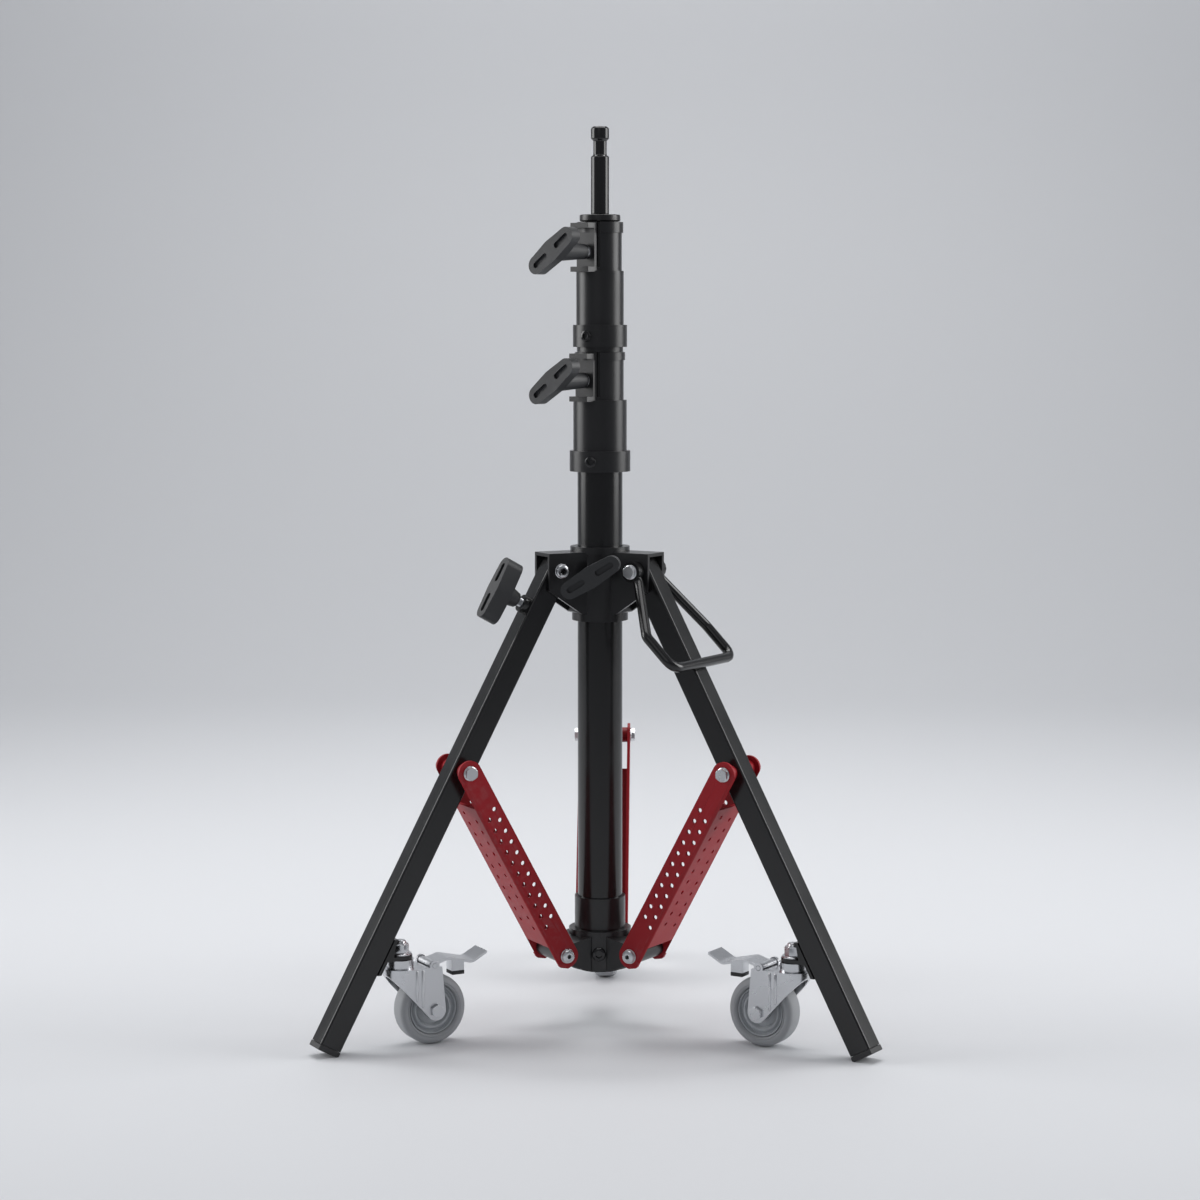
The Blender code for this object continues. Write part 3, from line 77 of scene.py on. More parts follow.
SPOKES = ("rear", "left", "right")
JOINTS = {joint["name"]: joint for joint in frame["joints"]}
X = Vector((1, 0, 0))
Y = Vector((0, 1, 0))
UP = Vector((0, 0, 1))
FULL_TURN = 2 * math.pi
QUARTER_TURN = math.pi / 2

# Points nearer than this are merged, and faces flatter than this are joined.
WELD = 0.000002
FLAT_ANGLE = math.radians(0.6)

# The diameter of a bolt's shank, the height of its head with the washer, and the washer's thickness.
BOLT_SHANK = 0.008
BOLT_HEAD = 0.0042
BOLT_WASHER = 0.0010

# A bolt's head and nut as shares of its washer, and a socket as a share of its head.
HEAD_SHARE = 0.92
NUT_SHARE = 0.80
KEY_SHARE = 0.54
SMALL_KEY_SHARE = 0.36

# A thin dark disc painted as shade on the floor of a bolt's socket: its share of the washer, its height over
# the seat, and its ends from there.
SHADE_PLUG_SHARE = 0.41
SHADE_PLUG_HEIGHT = 0.0013
SHADE_PLUG_ENDS = (-0.0003, 0.0004)

# Scales of the finishes' noise, and the spans of values that their masks are taken from.
TONE_SCALE = 22
BREAKUP_SCALE = 130
PATCH_SCALE = 45
TONE_SPREAD = 0.06
TONE_SPAN = (0.3, 0.7)
EDGE_SPAN = (0.58, 0.72)
BREAKUP_SPAN = (0.42, 0.66)
FACING_SPAN = (0.35, 1.0)
GRAIN_DEPTH = 0.0004

# A Mix node has sockets for every kind of data. These are its factor, its two colours and the mixed colour.
MIX_FACTOR = 0
MIX_FIRST = 6
MIX_SECOND = 7
MIX_RESULT = 2

# The backdrop: how far it runs, how far off its wall stands, and the bend between floor and wall.
BACKDROP_REACH = 6.0
WALL_DISTANCE = 3.2
WALL_BEND = 1.2


def joint_place(name):
    return Vector(JOINTS[name]["pos_m"])


def joint_axis(name):
    return Vector(JOINTS[name]["axis"])


# The yoke knob's joint lies on the column's axis.
COLUMN_FOOT = Vector((*joint_place("yoke_knob_turn").xy, 0))


def axes(origin, x, y, z):
    """A matrix whose columns are three directions, placed at an origin."""
    return Matrix.Translation(origin) @ Matrix((x, y, z)).transposed().to_4x4()


class Spoke:
    """One leg's directions and pivots, read from the frame.

    Out is away from the column, side is across the leg, and near is the sign that turns side to the front.
    """

    def __init__(self, name):
        self.name = name
        self.hinge = joint_place(name + "_leg_hinge")
        self.brace_top = joint_place(name + "_brace_hinge")
        self.kingpin = joint_place(name + "_caster_swivel")
        self.axle = joint_place(name + "_wheel_spin")
        self.pedal = joint_place(name + "_brake_press")
        self.side = joint_axis(name + "_leg_hinge")
        self.out = self.side.cross(UP)
        self.down_leg = (self.brace_top - self.hinge).normalized()
        self.off_leg = self.down_leg.cross(self.side)
        self.up_brace = Vector((*self.down_leg.xy, -self.down_leg.z))
        self.off_brace = self.side.cross(self.up_brace)
        self.near = 1 if self.side.y < 0 else -1

    def frame(self, origin):
        return axes(origin, self.out, self.side, UP)

    def leg_frame(self):
        return axes(self.hinge, self.off_leg, self.side, -self.down_leg)

    def brace_frame(self):
        return axes(self.brace_top, self.off_brace, self.side, self.up_brace)


SPOKE = {name: Spoke(name) for name in SPOKES}


def extent(node, origin, axis):
    """How far a CAD node reaches along an axis, below and above an origin."""
    places = [(vertex.co - origin).dot(axis) for vertex in frame["nodes"][node].data.vertices]
    return min(places), max(places)


def length(default, name, description):
    return FloatProperty(name=name, description=description, default=default, unit="LENGTH", precision=5)


def colour(default, name, description):
    return FloatVectorProperty(
        name=name, description=description, default=default, subtype="COLOR", size=3, min=0, max=1
    )


def angle(degrees, name, description):
    return FloatProperty(name=name, description=description, default=math.radians(degrees), subtype="ANGLE")


def power(watts, name, description):
    return FloatProperty(name=name, description=description, default=watts, unit="POWER")


class StandFinishes(bpy.types.PropertyGroup):
    """Colours of the stand's finishes."""

    tube_black: colour((0.006, 0.006, 0.0065), "Tube black", "Satin paint on the tubes, legs and handle")
    casting_grey: colour((0.011, 0.011, 0.012), "Casting grey", "Paint on the clamps, yoke and brace collar")
    stud_black: colour((0.008, 0.008, 0.009), "Stud black", "Gloss finish of the mounting stud")
    brace_red: colour((0.30, 0.006, 0.012), "Brace red", "Paint on the braces")
    zinc: colour((0.60, 0.61, 0.63), "Zinc", "Plating on the bolts, the casters and the pedals")
    bare_metal: colour((0.22, 0.22, 0.23), "Worn edge", "Metal that shows where paint is rubbed at an edge")
    knob_grey: colour((0.022, 0.023, 0.025), "Knob grey", "Moulded plastic of the T-knobs")
    cap_black: colour((0.014, 0.014, 0.015), "Cap black", "Plastic of the foot caps")
    bush_pale: colour((0.55, 0.55, 0.52), "Bush", "Plastic of the bushes inside the risers")
    tyre_grey: colour((0.33, 0.34, 0.355), "Tyre grey", "Rubber of the caster tyres")
    rim_grey: colour((0.40, 0.42, 0.44), "Rim grey", "Plastic of the caster rims")
    dust_grey: colour((0.30, 0.29, 0.28), "Dust", "Dust that settles on upward faces")


class StandDetails(bpy.types.PropertyGroup):
    """Sizes of the detail that the solids leave out."""

    edge: length(0.0007, "Edge", "Rounding of painted edges")
    fine_edge: length(0.0004, "Fine edge", "Rounding of small metal edges")
    casting_edge: length(0.0011, "Casting edge", "Rounding of cast edges")
    knob_edge: length(0.0019, "Knob edge", "Rounding of moulded knobs")
    leg_corner: length(0.0019, "Leg corner", "Outer corner radius of the square legs")
    brace_sheet: length(0.0025, "Brace sheet", "Thickness of the braces' sheet")
    brace_bend: length(0.0030, "Brace bend", "Outer radius of the bends of the braces")
    hole_diameter: length(0.0041, "Hole diameter", "Perforations of the braces")
    hole_pitch: length(0.0115, "Hole pitch", "Distance from hole to hole along a brace")
    hole_row_gap: length(0.0088, "Row gap", "Between the two rows of holes on a side of a brace")
    web_row_gap: length(0.0200, "Web row gap", "Between the two rows of holes on the web of a brace")
    holes_in_row: IntProperty(name="Holes in a row", description="Holes along a brace", default=11, min=1)
    collar_screw: length(0.0100, "Collar screw", "Diameter of the screws in the clamp collars")
    body_screw: length(0.0125, "Body screw", "Diameter of the screws round the brace collar")
    thread_pitch: length(0.00125, "Thread pitch", "Distance from ridge to ridge on a threaded stud")
    thread_depth: length(0.0004, "Thread depth", "Depth of a thread's groove")


class StandStage(bpy.types.PropertyGroup):
    """The camera, the floor and the lamps."""

    camera_distance: length(2.511, "Camera distance", "From the column's axis, along the floor")
    camera_height: length(0.6387, "Camera height", "Above the floor")
    camera_turn: angle(1.886, "Camera turn", "Round the column from the front")
    camera_tilt: angle(5.83, "Camera tilt", "Below the horizon")
    lens: FloatProperty(name="Lens", description="Focal length of the lens", default=84.75, unit="CAMERA")
    floor: colour((0.62, 0.63, 0.65), "Floor", "Plain pale floor")
    side_power: power(14, "Side lamps", "Power of each tall side lamp")
    side_beam: angle(90, "Side beam", "Spread of each tall side lamp")
    top_power: power(36, "Top lamp", "Power of the lamp overhead")
    wall_power: power(42, "Wall lamp", "Power of the lamp on the wall")
    front_power: power(6, "Front lamp", "Power of the soft front lamp")
    sky_colour: colour((0.9, 0.93, 1.0), "Sky colour", "Colour of the plain surroundings")
    sky: FloatProperty(name="Sky", description="Strength of the plain surroundings", default=0.22, min=0)


def finishes():
    return bpy.context.scene.stand_finishes


def details():
    return bpy.context.scene.stand_details


def shader_group(name, inputs, outputs):
    """An empty shader node group with named number sockets."""
    group = bpy.data.node_groups.new(name, "ShaderNodeTree")
    for label, default in inputs.items():
        socket = group.interface.new_socket(label, in_out="INPUT", socket_type="NodeSocketFloat")
        socket.default_value = default
    for label in outputs:
        group.interface.new_socket(label, in_out="OUTPUT", socket_type="NodeSocketFloat")
    return group, group.nodes.new("NodeGroupInput"), group.nodes.new("NodeGroupOutput")


def maths(tree, operation, second=None):
    """A Math node, with its second number set where it is fixed."""
    node = tree.nodes.new("ShaderNodeMath")
    node.operation = operation
    if second is not None:
        node.inputs[1].default_value = second
    return node


def multiplied(tree, first, second):
    """The product of two sockets."""
    node = maths(tree, "MULTIPLY")
    tree.links.new(first, node.inputs[0])
    tree.links.new(second, node.inputs[1])
    return node.outputs["Value"]


def mapped(tree, source, span, result=(0, 1)):
    """A span of a socket's values, spread over a range of results."""
    node = tree.nodes.new("ShaderNodeMapRange")
    for label, value in zip(("From Min", "From Max", "To Min", "To Max"), (*span, *result)):
        node.inputs[label].default_value = value
    tree.links.new(source, node.inputs["Value"])
    return node.outputs["Result"]


def object_noise(tree, scale, detail=2):
    """Noise on Object coordinates, with its scale from a socket."""
    place = tree.nodes.new("ShaderNodeTexCoord")
    noise = tree.nodes.new("ShaderNodeTexNoise")
    noise.inputs["Detail"].default_value = detail
    tree.links.new(place.outputs["Object"], noise.inputs["Vector"])
    tree.links.new(scale, noise.inputs["Scale"])
    return noise.outputs["Fac"]


def grain_group():
    """Fine grain for bump and a broad tone for colour and gloss, both from Object coordinates."""
    found = bpy.data.node_groups.get("finish_grain")
    if found:
        return found
    inputs = {"Grain Scale": 900, "Tone Scale": TONE_SCALE}
    group, entry, leave = shader_group("finish_grain", inputs, ("Tone", "Height"))
    for label, source, detail in (("Height", "Grain Scale", 3), ("Tone", "Tone Scale", 5)):
        group.links.new(object_noise(group, entry.outputs[source], detail), leave.inputs[label])
    return group


def wear_group():
    """A mask for rubbed edges: the sharpest edges, broken up by noise."""
    found = bpy.data.node_groups.get("rubbed_edges")
    if found:
        return found
    inputs = {"Amount": 0.5, "Breakup Scale": BREAKUP_SCALE}
    group, entry, leave = shader_group("rubbed_edges", inputs, ("Mask",))
    shape = group.nodes.new("ShaderNodeNewGeometry")
    edges = mapped(group, shape.outputs["Pointiness"], EDGE_SPAN)
    breakup = mapped(group, object_noise(group, entry.outputs["Breakup Scale"]), BREAKUP_SPAN)
    broken = multiplied(group, edges, breakup)
    group.links.new(multiplied(group, broken, entry.outputs["Amount"]), leave.inputs["Mask"])
    return group


def dust_group():
    """A mask for dust on faces that look up."""
    found = bpy.data.node_groups.get("settled_dust")
    if found:
        return found
    inputs = {"Amount": 0.1, "Patch Scale": PATCH_SCALE}
    group, entry, leave = shader_group("settled_dust", inputs, ("Mask",))
    shape = group.nodes.new("ShaderNodeNewGeometry")
    split = group.nodes.new("ShaderNodeSeparateXYZ")
    group.links.new(shape.outputs["Normal"], split.inputs["Vector"])
    facing = mapped(group, split.outputs["Z"], FACING_SPAN)
    patches = multiplied(group, facing, object_noise(group, entry.outputs["Patch Scale"], 6))
    group.links.new(multiplied(group, patches, entry.outputs["Amount"]), leave.inputs["Mask"])
    return group


def placed_group(tree, group, values):
    node = tree.nodes.new("ShaderNodeGroup")
    node.node_tree = group
    for label, value in values.items():
        node.inputs[label].default_value = value
    return node


def mixed(tree, factor, first, second):
    """Mixes two colours by a mask. Each is a colour or a socket."""
    mix = tree.nodes.new("ShaderNodeMix")
    mix.data_type = "RGBA"
    tree.links.new(factor, mix.inputs[MIX_FACTOR])
    for socket, value in ((mix.inputs[MIX_FIRST], first), (mix.inputs[MIX_SECOND], second)):
        if isinstance(value, bpy.types.NodeSocket):
            tree.links.new(value, socket)
        else:
            socket.default_value = (*value, 1)
    return mix.outputs[MIX_RESULT]


FINISH = {
    "satin_black": dict(base="tube_black", gloss=(0.20, 0.25), grain=1500, bump=0.012, wear=0.10, dust=0.03),
    "charcoal_casting": dict(
        base="casting_grey", gloss=(0.28, 0.34), grain=1100, bump=0.05, wear=0.14, dust=0.03
    ),
    "gloss_black": dict(base="stud_black", gloss=(0.10, 0.15), grain=1800, bump=0.01, wear=0.1, dust=0.0),
    "red_paint": dict(
        base="brace_red", gloss=(0.42, 0.48), grain=1300, bump=0.05, wear=0.10, dust=0.02, specular=0.3
    ),
    "zinc_plate": dict(
        base="zinc", gloss=(0.20, 0.38), grain=420, bump=0.05, wear=0.0, dust=0.04, metallic=1.0
    ),
    "knob_plastic": dict(base="knob_grey", gloss=(0.44, 0.58), grain=1700, bump=0.14, wear=0.12, dust=0.06),
    "cap_plastic": dict(base="cap_black", gloss=(0.45, 0.60), grain=1500, bump=0.14, wear=0.1, dust=0.08),
    "bush_plastic": dict(base="bush_pale", gloss=(0.40, 0.52), grain=1200, bump=0.05, wear=0.0, dust=0.0),
    "tyre_rubber": dict(base="tyre_grey", gloss=(0.58, 0.74), grain=1000, bump=0.16, wear=0.0, dust=0.22),
    "rim_plastic": dict(base="rim_grey", gloss=(0.34, 0.48), grain=1400, bump=0.06, wear=0.0, dust=0.08),
}


def finish(slot):
    """The material of one of the record's slots: a colour with tone, grain, rubbed edges and dust."""
    found = bpy.data.materials.get("stand_" + slot)
    if found:
        return found
    recipe = FINISH[slot]
    base = getattr(finishes(), recipe["base"])
    made = bpy.data.materials.new("stand_" + slot)
    made.use_nodes = True
    tree = made.node_tree
    shader = tree.nodes["Principled BSDF"]
    shader.inputs["Metallic"].default_value = recipe.get("metallic", 0.0)
    shader.inputs["Specular IOR Level"].default_value = recipe.get("specular", 0.5)
    grain = placed_group(tree, grain_group(), {"Grain Scale": recipe["grain"], "Tone Scale": TONE_SCALE})
    wear = placed_group(tree, wear_group(), {"Amount": recipe["wear"], "Breakup Scale": BREAKUP_SCALE})
    dust = placed_group(tree, dust_group(), {"Amount": recipe["dust"], "Patch Scale": PATCH_SCALE})
    darker = [value * (1 - TONE_SPREAD) for value in base]
    lighter = [min(1, value * (1 + TONE_SPREAD)) for value in base]
    toned = mixed(tree, grain.outputs["Tone"], darker, lighter)
    rubbed = mixed(tree, wear.outputs["Mask"], toned, finishes().bare_metal)
    dusted = mixed(tree, dust.outputs["Mask"], rubbed, finishes().dust_grey)
    tree.links.new(dusted, shader.inputs["Base Color"])
    gloss = mapped(tree, grain.outputs["Tone"], TONE_SPAN, recipe["gloss"])
    tree.links.new(gloss, shader.inputs["Roughness"])
    bump = tree.nodes.new("ShaderNodeBump")
    bump.inputs["Strength"].default_value = recipe["bump"]
    bump.inputs["Distance"].default_value = GRAIN_DEPTH
    tree.links.new(grain.outputs["Height"], bump.inputs["Height"])
    tree.links.new(bump.outputs["Normal"], shader.inputs["Normal"])
    return made


def slot_of(node):
    return next(part["material_slot"] for part in frame["record"]["subparts"] if part["node"] == node)


def body_of(node):
    return frame["nodes"][node]["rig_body"]


def mesh_from(form, name):
    """A welded mesh with its faces turned outwards, from a bmesh."""
    bmesh.ops.remove_doubles(form, verts=form.verts, dist=WELD)
    bmesh.ops.recalc_face_normals(form, faces=form.faces)
    mesh = bpy.data.meshes.new(name)
    form.to_mesh(mesh)
    form.free()
    return mesh


def moved(mesh, matrix):
    mesh.transform(matrix)
    return mesh


def joined(*meshes):
    """Several closed shapes in one mesh."""
    form = bmesh.new()
    for mesh in meshes:
        form.from_mesh(mesh)
    made = bpy.data.meshes.new("joined")
    form.to_mesh(made)
    form.free()
    return made


def turned(points, sides=48, closed=True):
    """A shape turned about Z from (radius, height) points: a loop, or a line from axis to axis."""
    form = bmesh.new()
    corners = [form.verts.new((radius, 0, height)) for radius, height in points]
    runs = list(zip(corners, corners[1:]))
    if closed:
        runs.append((corners[-1], corners[0]))
    edges = [form.edges.new(run) for run in runs]
    bmesh.ops.spin(
        form, geom=corners + edges, axis=UP, cent=(0, 0, 0), angle=FULL_TURN, steps=sides, use_merge=True
    )
    return mesh_from(form, "turned")


def disc(diameter, low, high, sides=48):
    radius = diameter / 2
    return turned([(0, high), (radius, high), (radius, low), (0, low)], sides, closed=False)


def prism(outline, low, high):
    """An outline of (x, y) points, from z = low to z = high."""
    form = bmesh.new()
    face = form.faces.new([form.verts.new((x, y, low)) for x, y in outline])
    lifted = bmesh.ops.extrude_face_region(form, geom=[face])
    corners = [item for item in lifted["geom"] if isinstance(item, bmesh.types.BMVert)]
    bmesh.ops.translate(form, verts=corners, vec=(0, 0, high - low))
    return mesh_from(form, "prism")


def ring_points(radius, sides):
    """The corners of a regular shape of so many sides."""
    turns = [FULL_TURN * step / sides for step in range(sides)]
    return [(radius * math.cos(turn), radius * math.sin(turn)) for turn in turns]


def rounded_square(half, radius, steps=5):
    """The corners of a square with its corners rounded."""
    points = []
    for quarter in range(4):
        turn = QUARTER_TURN / 2 + quarter * QUARTER_TURN
        x = (half - radius) * (1 if math.cos(turn) > 0 else -1)
        y = (half - radius) * (1 if math.sin(turn) > 0 else -1)
        for step in range(steps + 1):
            bearing = turn - QUARTER_TURN / 2 + step / steps * QUARTER_TURN
            points.append((x + radius * math.cos(bearing), y + radius * math.sin(bearing)))
    return points


def quarter_arc(x, y, radius, steps):
    """Points of a quarter circle about a centre, from its +y side to its +x side."""
    turns = [QUARTER_TURN * step / steps for step in range(steps + 1)]
    return [(x + radius * math.sin(turn), y + radius * math.cos(turn)) for turn in turns]


def lay_along(mesh, place, direction):
    """Turns a shape's Z axis along a direction and puts its origin at a place."""
    turn = UP.rotation_difference(direction).to_matrix().to_4x4()
    return moved(mesh, Matrix.Translation(place) @ turn)


def helper(data):
    """A passing object that carries a mesh while modifiers shape it."""
    obj = bpy.data.objects.new("helper", data)
    bpy.context.scene.collection.objects.link(obj)
    return obj


def settled(obj, name):
    """The plain mesh that an object's modifiers give. The object is removed."""
    bpy.context.view_layer.update()
    graph = bpy.context.evaluated_depsgraph_get()
    mesh = bpy.data.meshes.new_from_object(obj.evaluated_get(graph))
    mesh.name = name
    bpy.data.objects.remove(obj)
    return mesh


def boolean(mesh, tool, operation="DIFFERENCE"):
    """Cuts a tool from a mesh, or joins it on."""
    obj = helper(mesh)
    other = helper(tool)
    change = obj.modifiers.new("shape", "BOOLEAN")
    change.solver = "MANIFOLD"
    change.operation = operation
    change.object = other
    made = settled(obj, "shaped")
    bpy.data.objects.remove(other)
    return made


def flattened(mesh):
    """A welded copy of a mesh, with its flat triangles joined into faces."""
    form = bmesh.new()
    form.from_mesh(mesh)
    bmesh.ops.remove_doubles(form, verts=form.verts, dist=WELD)
    bmesh.ops.dissolve_limit(form, angle_limit=FLAT_ANGLE, verts=form.verts, edges=form.edges)
    made = bpy.data.meshes.new("flattened")
    form.to_mesh(made)
    form.free()
    return made


def cad_copy(node):
    """A flattened copy of a CAD node's mesh, which itself stays as it is."""
    return flattened(frame["nodes"][node].data)


def softened(mesh, width, steps=3, sharpest=32):
    """Rounds a mesh's edges and evens out its shading."""
    obj = helper(mesh)
    mesh.shade_smooth()
    round_off = obj.modifiers.new("round", "BEVEL")
    round_off.width = width
    round_off.segments = steps
    round_off.limit_method = "ANGLE"
    round_off.angle_limit = math.radians(sharpest)
    round_off.miter_outer = "MITER_ARC"
    even = obj.modifiers.new("even", "WEIGHTED_NORMAL")
    even.keep_sharp = True
    return settled(obj, "softened")


def piece(name, mesh, body, slot, stands_for=()):
    """A finished piece: it rides on a body, takes a slot's finish and may stand for CAD nodes."""
    mesh.name = name
    mesh.materials.clear()
    mesh.materials.append(finish(slot))
    obj = bpy.data.objects.new(name, mesh)
    bpy.context.scene.collection.objects.link(obj)
    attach(obj, body)
    if stands_for:
        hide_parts(*stands_for)
    return obj


def soft_copy(node, width, steps=3, sharpest=32):
    """A piece with a CAD node's own shape and rounded edges."""
    mesh = softened(cad_copy(node), width, steps, sharpest)
    return piece(node + "_body", mesh, body_of(node), slot_of(node), [node])


def painted(node):
    """Gives a CAD node that stays as it is the finish of its slot."""
    obj = frame["nodes"][node]
    obj.data.materials.clear()
    obj.data.materials.append(finish(slot_of(node)))


def geometry_tree(name, inputs):
    """A Geometry Nodes tree with a shape to copy and named inputs. It ends with real, painted copies."""
    tree = bpy.data.node_groups.new(name, "GeometryNodeTree")
    tree.interface.new_socket("Shape", in_out="INPUT", socket_type="NodeSocketGeometry")
    for label, kind in inputs.items():
        tree.interface.new_socket(label, in_out="INPUT", socket_type=kind)
    tree.interface.new_socket("Finish", in_out="INPUT", socket_type="NodeSocketMaterial")
    tree.interface.new_socket("Copies", in_out="OUTPUT", socket_type="NodeSocketGeometry")
    entry = tree.nodes.new("NodeGroupInput")
    copies = tree.nodes.new("GeometryNodeInstanceOnPoints")
    real = tree.nodes.new("GeometryNodeRealizeInstances")
    paint = tree.nodes.new("GeometryNodeSetMaterial")
    leave = tree.nodes.new("NodeGroupOutput")
    tree.links.new(entry.outputs["Shape"], copies.inputs["Instance"])
    tree.links.new(copies.outputs["Instances"], real.inputs["Geometry"])
    tree.links.new(real.outputs["Geometry"], paint.inputs["Geometry"])
    tree.links.new(entry.outputs["Finish"], paint.inputs["Material"])
    tree.links.new(paint.outputs["Geometry"], leave.inputs["Copies"])
    return tree, entry, copies


def ring_tree():
    """Copies of a shape round the Z axis, each with its own Z axis pointing out."""
    found = bpy.data.node_groups.get("copies_in_ring")
    if found:
        return found
    inputs = {"Count": "NodeSocketInt", "Radius": "NodeSocketFloat"}
    tree, entry, copies = geometry_tree("copies_in_ring", inputs)
    link = tree.links.new
    points = tree.nodes.new("GeometryNodePoints")
    index = tree.nodes.new("GeometryNodeInputIndex")
    share = maths(tree, "DIVIDE")
    turn = maths(tree, "MULTIPLY", FULL_TURN)
    place = tree.nodes.new("ShaderNodeCombineXYZ")
    for axis, function in (("X", "COSINE"), ("Y", "SINE")):
        wave = maths(tree, function)
        link(turn.outputs["Value"], wave.inputs[0])
        link(multiplied(tree, wave.outputs["Value"], entry.outputs["Radius"]), place.inputs[axis])
    where = tree.nodes.new("GeometryNodeInputPosition")
    aim = tree.nodes.new("FunctionNodeAlignRotationToVector")
    aim.axis = "Z"
    link(index.outputs["Index"], share.inputs[0])
    link(entry.outputs["Count"], share.inputs[1])
    link(share.outputs["Value"], turn.inputs[0])
    link(entry.outputs["Count"], points.inputs["Count"])
    link(place.outputs["Vector"], points.inputs["Position"])
    link(where.outputs["Position"], aim.inputs["Vector"])
    link(points.outputs["Points"], copies.inputs["Points"])
    link(aim.outputs["Rotation"], copies.inputs["Rotation"])
    return tree


def line_tree():
    """Copies of a shape along the Z axis."""
    found = bpy.data.node_groups.get("copies_in_line")
    if found:
        return found
    inputs = {"Count": "NodeSocketInt", "Step": "NodeSocketVector"}
    tree, entry, copies = geometry_tree("copies_in_line", inputs)
    line = tree.nodes.new("GeometryNodeMeshLine")
    tree.links.new(entry.outputs["Count"], line.inputs["Count"])
    tree.links.new(entry.outputs["Step"], line.inputs["Offset"])
    tree.links.new(line.outputs["Mesh"], copies.inputs["Points"])
    return tree


def rows_tree():
    """Copies of a shape in rows, every second row moved on by half a step."""
    found = bpy.data.node_groups.get("copies_in_rows")
    if found:
        return found
    inputs = {"Count": "NodeSocketInt", "Step": "NodeSocketFloat", "Row Gap": "NodeSocketFloat"}
    tree, entry, copies = geometry_tree("copies_in_rows", inputs)
    grid = tree.nodes.new("GeometryNodeMeshGrid")
    grid.inputs["Vertices Y"].default_value = 2
    spans = maths(tree, "SUBTRACT", 1)
    row = maths(tree, "MODULO", 2)
    half = maths(tree, "MULTIPLY", 0.5)
    offset = tree.nodes.new("ShaderNodeCombineXYZ")
    stagger = tree.nodes.new("GeometryNodeSetPosition")
    index = tree.nodes.new("GeometryNodeInputIndex")
    link = tree.links.new
    link(entry.outputs["Count"], grid.inputs["Vertices X"])
    link(entry.outputs["Count"], spans.inputs[0])
    link(multiplied(tree, spans.outputs["Value"], entry.outputs["Step"]), grid.inputs["Size X"])
    link(entry.outputs["Row Gap"], grid.inputs["Size Y"])
    link(index.outputs["Index"], row.inputs[0])
    link(entry.outputs["Step"], half.inputs[0])
    link(multiplied(tree, row.outputs["Value"], half.outputs["Value"]), offset.inputs["X"])
    link(grid.outputs["Mesh"], stagger.inputs["Geometry"])
    link(offset.outputs["Vector"], stagger.inputs["Offset"])
    link(stagger.outputs["Geometry"], copies.inputs["Points"])
    return tree


def repeated(shape, tree, values, slot):
    """The plain mesh of a shape's copies, as a Geometry Nodes tree places them."""
    obj = helper(shape)
    nodes = obj.modifiers.new("copies", "NODES")
    nodes.node_group = tree
    sockets = {item.name: item.identifier for item in tree.interface.items_tree if item.in_out == "INPUT"}
    for label, value in values.items():
        nodes[sockets[label]] = value
    nodes[sockets["Finish"]] = finish(slot)
    return settled(obj, "repeated")


def socket_screw(diameter, height, key_share=KEY_SHARE):
    """A round screw head with a hexagon socket, standing on z = 0. The socket takes a share of the head."""
    radius = diameter / 2
    dome = [(0, height), (radius * 0.62, height), (radius * 0.88, height * 0.86), (radius, height * 0.55)]
    head = turned(dome + [(radius, -height / 2), (0, -height / 2)], 32, closed=False)
    key = prism(ring_points(radius * key_share, 6), height * 0.10, height * 2)
    return softened(boolean(head, key), radius * 0.05, 2)


def hexagon_head(across, height):
    """A hexagon head or nut with its top corners turned off, standing on z = 0."""
    corner = across / math.sqrt(3)
    block = prism(ring_points(corner, 6), 0, height)
    outside = corner * 1.02
    crown = [(0, height), (corner * 0.86, height), (outside, height * 0.80), (outside, 0), (0, 0)]
    return softened(boolean(block, turned(crown, 48, closed=False), "INTERSECT"), across * 0.025, 2)


def washer(diameter, thickness):
    """A washer without its hole, which a bolt fills, standing on z = 0."""
    radius = diameter / 2
    loop = [(0, thickness), (radius * 0.94, thickness), (radius, thickness * 0.5), (radius, 0), (0, 0)]
    return turned(loop, 40, closed=False)


def pivot_bolt(spoke, node, place, near_head, key_share=KEY_SHARE):
    """A bolt across a spoke: a washer and a head on the near side, a washer and a nut on the far side."""
    low, high = extent(node, place, spoke.side)
    diameter = max(extent(node, place, UP)) * 2
    seat = (high - low) / 2 - BOLT_HEAD
    top_height = BOLT_HEAD - BOLT_WASHER
    parts = [lay_along(disc(BOLT_SHANK, -seat, seat, 24), place, spoke.side)]
    for sign, kind in ((spoke.near, near_head), (-spoke.near, "nut")):
        direction = spoke.side * sign
        under = place + direction * seat
        parts.append(lay_along(washer(diameter, BOLT_WASHER), under, direction))
        if kind == "socket":
            top = socket_screw(diameter * HEAD_SHARE, top_height, key_share)
        else:
            top = hexagon_head(diameter * NUT_SHARE, top_height)
        parts.append(lay_along(top, under + direction * BOLT_WASHER, direction))
    piece(node + "_body", shaded(joined(*parts)), body_of(node), slot_of(node), [node])
    # A socket head also gets a thin dark disc on the floor of its socket. This is painted shade for the shadow
    # inside the socket.
    if near_head == "socket":
        direction = spoke.side * spoke.near
        shade_plug = prism(ring_points(diameter * SHADE_PLUG_SHARE * key_share, 6), *SHADE_PLUG_ENDS)
        lay_along(shade_plug, place + direction * (seat + SHADE_PLUG_HEIGHT), direction)
        piece(node + "_socket", shade_plug, body_of(node), "gloss_black")


def shaded(mesh, sharpest=32):
    """Smooth shading, with edges sharper than an angle kept."""
    mesh.shade_smooth()
    mesh.set_sharp_from_angle(angle=math.radians(sharpest))
    return mesh


